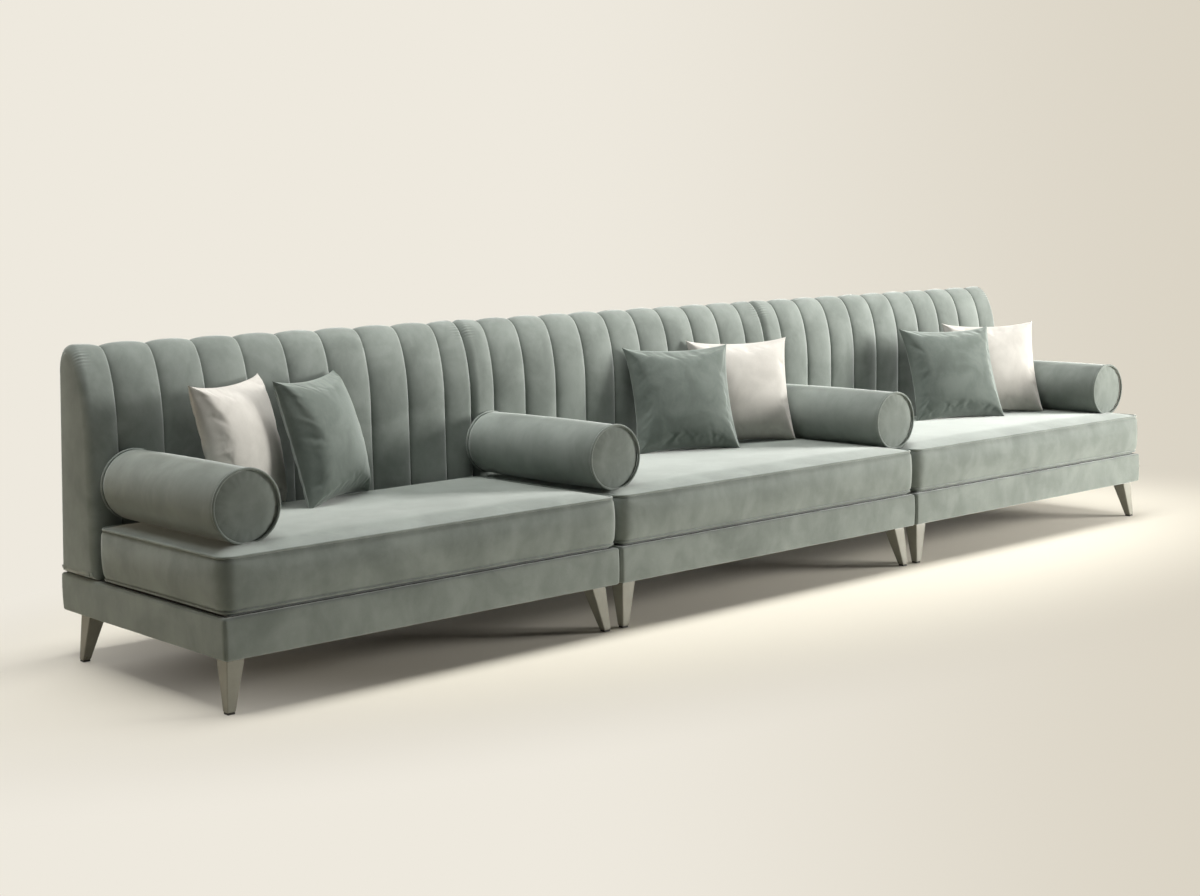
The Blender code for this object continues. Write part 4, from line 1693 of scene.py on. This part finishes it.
    def finish(self, material: bpy.types.Material, seats: Sequence[SeatCushion]) -> None:
        """Settles, smooths and dresses the cover and sews its pipings on.

        Args:
            material: The velvet.
            seats: Seats that may carry it.
        """
        write_points(self.piece, self.settled(read_points(self.piece), seats))
        subdivide(self.piece)
        dress(self.piece, self.body, material, (self.node,))
        rings = self.pipings()
        rings.points = self.settled(rings.points, seats)
        dress(rings.piece(f"{self.node}_piping"), self.body, material)


@dataclass
class Pillow:
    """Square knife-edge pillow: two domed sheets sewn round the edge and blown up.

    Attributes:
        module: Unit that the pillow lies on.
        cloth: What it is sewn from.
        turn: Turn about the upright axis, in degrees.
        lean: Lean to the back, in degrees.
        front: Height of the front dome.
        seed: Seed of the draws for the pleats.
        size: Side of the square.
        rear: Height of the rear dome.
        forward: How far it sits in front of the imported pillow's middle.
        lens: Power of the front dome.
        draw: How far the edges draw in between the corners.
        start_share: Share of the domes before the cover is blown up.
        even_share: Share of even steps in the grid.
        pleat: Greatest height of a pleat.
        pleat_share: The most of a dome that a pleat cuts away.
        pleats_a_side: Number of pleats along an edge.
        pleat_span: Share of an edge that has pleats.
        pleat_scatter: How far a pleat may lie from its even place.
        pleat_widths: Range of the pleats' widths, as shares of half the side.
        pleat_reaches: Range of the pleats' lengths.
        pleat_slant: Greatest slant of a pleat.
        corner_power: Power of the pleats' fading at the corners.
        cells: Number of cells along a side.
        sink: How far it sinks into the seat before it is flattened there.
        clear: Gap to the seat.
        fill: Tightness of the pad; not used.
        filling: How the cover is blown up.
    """

    module: Module
    cloth: Cloth
    turn: float
    lean: float
    front: float
    seed: int
    size: float = 0.438
    rear: float = 0.058
    forward: float = 0.004
    lens: float = 0.54
    draw: float = 0.019
    start_share: float = 0.9
    even_share: float = 0.3
    pleat: float = 0.0034
    pleat_share: float = 0.35
    pleats_a_side: int = 17
    pleat_span: float = 0.9
    pleat_scatter: float = 0.05
    pleat_widths: tuple[float, float] = (0.022, 0.045)
    pleat_reaches: tuple[float, float] = (0.010, 0.026)
    pleat_slant: float = 0.9
    corner_power: int = 8
    cells: int = 66
    sink: float = 0.003
    clear: float = 0.0004
    fill: float = 0.7
    filling: Filling = Filling(pressure=4.0, reach=0.014, tension=14.0, bending=0.1, mass=0.2)

    def __post_init__(self) -> None:
        """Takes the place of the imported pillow."""
        self.node = f"{self.module.value}_pillow_{self.cloth.value}"
        self.body = f"{self.module.value}_{self.cloth.value}_pillow"
        low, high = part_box(self.node)
        self.middle = np.array((low + high) / 2)

    def sheets(self) -> Skin:
        """Two domed sheets sewn round the edge, with pleats beside the seams.

        With u and v between the grid's shares and their sines, the edges draw in by the draw times
        (1 - v * v), and the domes rise by (1 - u * u) * (1 - v * v) to a power, which is a root behind. The
        pleats stand on them, fade at the corners and cut only a part of the dome away.

        Returns:
            The skin round the pillow's own middle.
        """
        even = np.linspace(-1, 1, self.cells + 1)
        places = self.even_share * even + (1 - self.even_share) * np.sin(math.pi / 2 * even)
        u, v = np.meshgrid(places, places, indexing="ij")
        draws = np.random.default_rng(self.seed)
        half = self.size / 2
        dome = np.maximum((1 - u * u) * (1 - v * v), 0)
        share = start_of(self.start_share)
        front, rear = self.front * share * dome**self.lens, self.rear * share * np.sqrt(dome)
        across = u * (half - self.draw * (1 - v * v))
        upright = v * (half - self.draw * (1 - u * u))
        fade = np.sqrt((1 - u**self.corner_power) * (1 - v**self.corner_power))
        edges = ((u, v), (-u, v), (v, u), (-v, u))
        sheets = []
        for side, plump in ((-1, front), (1, rear)):
            pleat = sum(self.pleats(away, along, half, draws) for away, along in edges)
            pleat = np.maximum(pleat * fade, -self.pleat_share * plump)
            sheets.append(np.stack((across, side * (plump + pleat), upright), axis=-1))
        return (Skin.grid(sheets[0][:, ::-1]) + Skin.grid(sheets[1])).welded()

    def pleats(self, away: Array, along: Array, half: float, draws: np.random.Generator) -> Array:
        """Uneven pleats beside the edge where away is 1.

        Each pleat is a bell across, slants a little, and along its length rises from the seam and dies out
        as x * exp(1 - x), where x is the distance from the seam over the pleat's own reach. The pleats get
        lower to the edge's ends with the fourth power.

        Args:
            away: Share of the way to that edge.
            along: Share along it.
            half: Half of the pillow's size.
            draws: Where places, sizes and slants are drawn.

        Returns:
            Height of the pleats.
        """
        count = (self.pleats_a_side, 1, 1)
        centre = np.linspace(-self.pleat_span, self.pleat_span, self.pleats_a_side)[:, None, None]
        centre = centre + draws.uniform(-self.pleat_scatter, self.pleat_scatter, count)
        width = draws.uniform(*self.pleat_widths, count)
        reach = draws.uniform(*self.pleat_reaches, count)
        slant = draws.uniform(-self.pleat_slant, self.pleat_slant, count)
        height = self.pleat * draws.uniform(-1.0, 1.0, count) * (1 - centre**4)
        inside = half * (1 - away)[None]
        bell = np.exp(-(((along[None] - centre - slant * inside / half) / width) ** 2))
        run = inside / reach
        return (height * bell * run * np.exp(1 - run)).sum(axis=0)

    def build(self, bench: ClothBench) -> None:
        """Sews the sheets and lays the cover on the cloth bench.

        Args:
            bench: Where the cover is blown up.
        """
        skin = self.sheets()
        self.piece = skin.piece(f"{self.node}_cover", outward=False)
        bench.lay(self.piece, skin.hold, self.filling)

    def placed(self, points: Array, seat: SeatCushion) -> Array:
        """Scales the blown cover to its size and depths, turns and leans it, and sits it on the seat.

        Args:
            points: Points of the cover round its own middle.
            seat: Seat that carries it.

        Returns:
            The moved points.
        """
        low, high = points.min(axis=0), points.max(axis=0)
        fitted = points * (self.size / (high - low))
        depth = np.where(points[:, 1] < 0, self.front / -low[1], self.rear / high[1])
        fitted[:, 1] = depth * points[:, 1]
        turned = Matrix.Rotation(math.radians(self.turn), 3, "Z")
        turned = turned @ Matrix.Rotation(math.radians(-self.lean), 3, "X")
        moved = fitted @ np.array(turned).T + self.middle
        moved[:, 1] -= self.forward
        moved[:, 2] -= self.sink
        floor = seat.height_at(moved[:, 0], moved[:, 1]) + self.clear
        moved[:, 2] = np.maximum(moved[:, 2], floor)
        return moved

    def finish(self, material: bpy.types.Material, seat: SeatCushion) -> None:
        """Places, smooths and dresses the cover.

        Args:
            material: The cloth's material.
            seat: Seat that carries it.
        """
        write_points(self.piece, self.placed(read_points(self.piece), seat))
        subdivide(self.piece)
        dress(self.piece, self.body, material, (self.node,))


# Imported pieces, stage, light and camera


@dataclass(frozen=True)
class HardParts:
    """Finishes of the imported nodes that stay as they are, each with words of the nodes' names."""

    finishes: tuple[tuple[Any, tuple[str, ...]], ...] = (
        (LEG_PAINT, ("_leg_",)),
        (GLIDE_NYLON, ("_glide_",)),
        (FRAME_TIMBER, ("_base_frame", "_back_frame")),
        (DECK_CLOTH_DARKENED_AS_GAP_SHADE, ("_seat_deck",)),
        (DUST_CLOTH, ("_dust_cover",)),
        (ZINC, ("_hook", "_receiver")),
    )

    def dress(self) -> None:
        """Puts each finish on the nodes whose names hold one of its words."""
        for finish, words in self.finishes:
            material = finish.material()
            for name in sorted(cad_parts):
                if any(word in name for word in words):
                    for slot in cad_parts[name].material_slots:
                        slot.material = material
                    log.info("finish: %s on %s", material.name, name)


@dataclass(frozen=True)
class Lamp:
    """A soft box: its place, what it points at, its width and height, power in watts, and fan in degrees."""

    name: str
    place: tuple[float, float, float]
    target: tuple[float, float, float]
    size: tuple[float, float]
    power: float
    colour: Colour
    spread: float = 180.0

    def hang(self) -> None:
        """Makes the lamp and turns it to its target."""
        light = bpy.data.lights.new(self.name, "AREA")
        light.shape = "RECTANGLE"
        light.size, light.size_y = self.size
        light.energy = self.power
        light.color = self.colour
        light.spread = math.radians(self.spread)
        lamp = bpy.data.objects.new(self.name, light)
        bpy.context.scene.collection.objects.link(lamp)
        lamp.location = self.place
        sight = Vector(self.target) - Vector(self.place)
        lamp.rotation_euler = sight.to_track_quat("-Z", "Y").to_euler()


LAMPS = (
    Lamp(
        "overhead",
        place=(0.1, 0.0, 3.8),
        target=(0.1, 0.0, 0.0),
        size=(6.6, 1.0),
        power=91.0,
        colour=(1.0, 0.99, 0.975),
        spread=95.0,
    ),
    Lamp(
        "key",
        place=(5.3, -4.0, 1.6),
        target=(1.3, 0.0, 0.6),
        size=(2.8, 1.8),
        power=152.0,
        colour=(1.0, 0.98, 0.95),
        spread=90.0,
    ),
    Lamp(
        "side",
        place=(-5.2, 1.8, 0.6),
        target=(-2.3, -0.1, 0.4),
        size=(1.6, 0.7),
        power=18.0,
        colour=(1.0, 0.83, 0.62),
    ),
    Lamp(
        "rear",
        place=(0.6, 5.2, 2.4),
        target=(0.2, 0.5, 0.5),
        size=(5.0, 2.0),
        power=90.0,
        colour=(1.0, 0.99, 0.98),
        spread=120.0,
    ),
)


@dataclass(frozen=True)
class Studio:
    """Pale floor that runs into a pale background, soft lamps and the camera.

    Attributes:
        floor_colour: Colour of the floor under and round the sofa.
        background_left: Colour of the background at the left.
        background_right: Colour of the background at the right.
        background_span: Part of the view's width, as sines, over which the background changes.
        fill_light: Colour of the even fill light.
        fill_strength: Strength of the even fill light.
        floor_radius: Radius of the floor.
        floor_level: Height of the floor.
        floor_rings: Number of rings of the floor.
        floor_sides: Number of points round a ring.
        floor_roughness: Roughness of the floor.
        floor_specular: Specular level of the floor.
        row_reach: Half length and half depth of the oval that the floor's fading is measured by.
        blend: Where the fading starts and ends, as shares of that oval.
        camera_place: Where the camera stands.
        camera_yaw: Its turn from the depth axis to the right, in radians.
        camera_pitch: Its tilt downwards, in radians.
        camera_roll: Its turn about the line of sight, in radians.
        focal_pixels: Focal length in pixels of the photograph.
        sight_end: Distance at which its sight ends.
    """

    floor_colour: Colour = from_screen(222, 217, 203)
    background_left: Colour = from_screen(238, 233, 222)
    background_right: Colour = from_screen(218, 211, 196)
    background_span: tuple[float, float] = (-0.05, 0.36)
    fill_light: Colour = (0.97, 0.99, 1.0)
    fill_strength: float = 0.035
    floor_radius: float = 40.0
    floor_level: float = -0.0004
    floor_rings: int = 48
    floor_sides: int = 64
    floor_roughness: float = 0.9
    floor_specular: float = 0.1
    row_reach: tuple[float, float] = (2.6, 1.25)
    blend: tuple[float, float] = (0.72, 1.45)
    camera_place: tuple[float, float, float] = (-4.830781, -4.914750, 1.363814)
    camera_yaw: float = 0.7275882705
    camera_pitch: float = 0.1260468974
    camera_roll: float = -0.0188542355
    focal_pixels: float = 1822.289
    sight_end: float = 200.0

    @cached_property
    def backdrop(self) -> bpy.types.NodeTree:
        """Group for the background: a soft change from left to right with the direction of sight.

        Returns:
            The group.
        """
        tree, given, out = open_group("backdrop", (("Direction", "Vector", None),), (("Colour", "Color"),))
        level = (math.cos(self.camera_yaw), -math.sin(self.camera_yaw), 0.0)
        values = {0: given["Direction"], 1: level}
        side = tree.node("ShaderNodeVectorMath", values, operation="DOT_PRODUCT").outputs["Value"]
        share = tree.spread(side, *self.background_span, 0.0, 1.0)
        tree.link(tree.mix(share, rgba(self.background_left), rgba(self.background_right)), out["Colour"])
        return tree.tree

    def lay_floor(self) -> None:
        """A disc of rings that grow with the square of their number, and fade to the background's colour.

        Away from the row the camera sees the background's colour, and all other light meets the plain floor.
        """
        ring = self.floor_radius * (np.arange(self.floor_rings + 1) / self.floor_rings) ** 2
        angle = np.linspace(0, 2 * math.pi, self.floor_sides, endpoint=False)
        points = np.stack(
            (
                ring[:, None] * np.cos(angle)[None],
                ring[:, None] * np.sin(angle)[None],
                np.full((len(ring), len(angle)), self.floor_level),
            ),
            axis=-1,
        )
        floor = Skin.grid(points[:, ::-1], wrap_columns=True).welded().piece("studio_floor", outward=False)
        material, tree, surface, place = open_material("studio_floor")
        surface.inputs["Base Color"].default_value = rgba(self.floor_colour)
        surface.inputs["Roughness"].default_value = self.floor_roughness
        surface.inputs["Specular IOR Level"].default_value = self.floor_specular
        row = tree.stretched(place, (1 / self.row_reach[0], 1 / self.row_reach[1], 0.0))
        distance = tree.node("ShaderNodeVectorMath", {0: row}, operation="LENGTH").outputs["Value"]
        share = tree.spread(distance, *self.blend, 0.0, 1.0)
        seen = tree.math("MULTIPLY", share, tree.node("ShaderNodeLightPath").outputs["Is Camera Ray"])
        values = {0: place, 1: self.camera_place}
        ray = tree.node("ShaderNodeVectorMath", values, operation="SUBTRACT").outputs[0]
        sight = tree.node("ShaderNodeVectorMath", {0: ray}, operation="NORMALIZE").outputs[0]
        colour = tree.group(self.backdrop, {"Direction": sight})["Colour"]
        glow = tree.node("ShaderNodeEmission", {"Color": colour, "Strength": 1.0}).outputs[0]
        both = tree.node("ShaderNodeMixShader", {0: seen, 1: surface.outputs[0], 2: glow}).outputs[0]
        tree.link(both, material.node_tree.nodes["Material Output"].inputs["Surface"])
        floor.data.materials.append(material)

    def light_world(self) -> None:
        """An even fill light, and the background colour for what the camera and mirrors see."""
        world = bpy.data.worlds.new("studio")
        bpy.context.scene.world = world
        world.use_nodes = True
        tree = Tree(world.node_tree)
        world.node_tree.nodes.clear()
        path = tree.node("ShaderNodeLightPath").outputs
        mirrored = tree.math("MAXIMUM", path["Is Glossy Ray"], path["Is Transmission Ray"])
        seen = tree.math("MAXIMUM", path["Is Camera Ray"], mirrored)
        sight = tree.node("ShaderNodeTexCoord").outputs["Generated"]
        colour = tree.group(self.backdrop, {"Direction": sight})["Colour"]
        values = {"Color": rgba(self.fill_light), "Strength": self.fill_strength}
        fill = tree.node("ShaderNodeBackground", values)
        back = tree.node("ShaderNodeBackground", {"Color": colour, "Strength": 1.0})
        both = tree.node("ShaderNodeMixShader", {0: seen, 1: fill.outputs[0], 2: back.outputs[0]})
        tree.node("ShaderNodeOutputWorld", {"Surface": both.outputs[0]})

    def place_camera(self) -> None:
        """The camera at the fitted place, turned by yaw, pitch and roll, with no shift."""
        data = bpy.data.cameras.new("camera")
        data.sensor_width = SENSOR_WIDTH
        data.lens = self.focal_pixels / PHOTO_WIDTH * SENSOR_WIDTH
        data.clip_end = self.sight_end
        yaw, pitch, roll = self.camera_yaw, self.camera_pitch, self.camera_roll
        ahead = Vector((math.sin(yaw) * math.cos(pitch), math.cos(yaw) * math.cos(pitch), -math.sin(pitch)))
        level = Vector((math.cos(yaw), -math.sin(yaw), 0.0))
        above = level.cross(ahead)
        right = math.cos(roll) * level + math.sin(roll) * above
        up = math.cos(roll) * above - math.sin(roll) * level
        turn = Matrix((right, up, -ahead)).transposed().to_4x4()
        camera = bpy.data.objects.new("camera", data)
        bpy.context.scene.collection.objects.link(camera)
        camera.matrix_world = Matrix.Translation(self.camera_place) @ turn
        bpy.context.scene.camera = camera

    def set_up(self) -> None:
        """Makes the whole stage."""
        self.place_camera()
        self.lay_floor()
        self.light_world()
        for lamp in LAMPS:
            lamp.hang()
        bpy.context.scene.view_settings.view_transform = "Standard"


CHANNELS = {Module.LEFT: 10, Module.CENTRE: 11, Module.RIGHT: 11}
BOLSTERS = (
    ("bolster_left_end", "left_end_bolster"),
    ("bolster_first_join", "first_join_bolster"),
    ("bolster_second_join", "second_join_bolster"),
    ("bolster_right_end", "right_end_bolster"),
)
PILLOWS: tuple[tuple[Module, Cloth, float, float, float], ...] = (
    (Module.LEFT, Cloth.CREAM, 30.0, 11.0, 0.098),
    (Module.LEFT, Cloth.SAGE, 30.5, 15.5, 0.102),
    (Module.CENTRE, Cloth.CREAM, -24.0, 14.5, 0.092),
    (Module.CENTRE, Cloth.SAGE, -24.0, 19.5, 0.096),
    (Module.RIGHT, Cloth.CREAM, -32.0, 19.5, 0.076),
    (Module.RIGHT, Cloth.SAGE, -25.0, 23.0, 0.096),
)


def main() -> None:
    """Builds every piece in order and sets up the stage."""
    logging.basicConfig(level=logging.INFO, format="%(name)s: %(message)s")
    velvet = SAGE.material()
    pillow_cloths = {Cloth.SAGE: SAGE_PILLOW.material(), Cloth.CREAM: CREAM.material()}
    bench = ClothBench()
    seats = {module: SeatCushion(module) for module in Module}
    bolsters = [Bolster(node, body) for node, body in BOLSTERS]
    pillows = [Pillow(*place, seed) for seed, place in enumerate(PILLOWS, 1)]
    for soft in (*seats.values(), *bolsters, *pillows):
        soft.build(bench)
    bench.run()
    for module in Module:
        PlinthCover(module).build(velvet)
        BackPad(module, CHANNELS[module]).build(velvet)
        seats[module].finish(velvet)
    for bolster in bolsters:
        bolster.finish(velvet, list(seats.values()))
    for pillow in pillows:
        pillow.finish(pillow_cloths[pillow.cloth], seats[pillow.module])
    HardParts().dress()
    Studio().set_up()


if __name__ == "__main__":
    main()
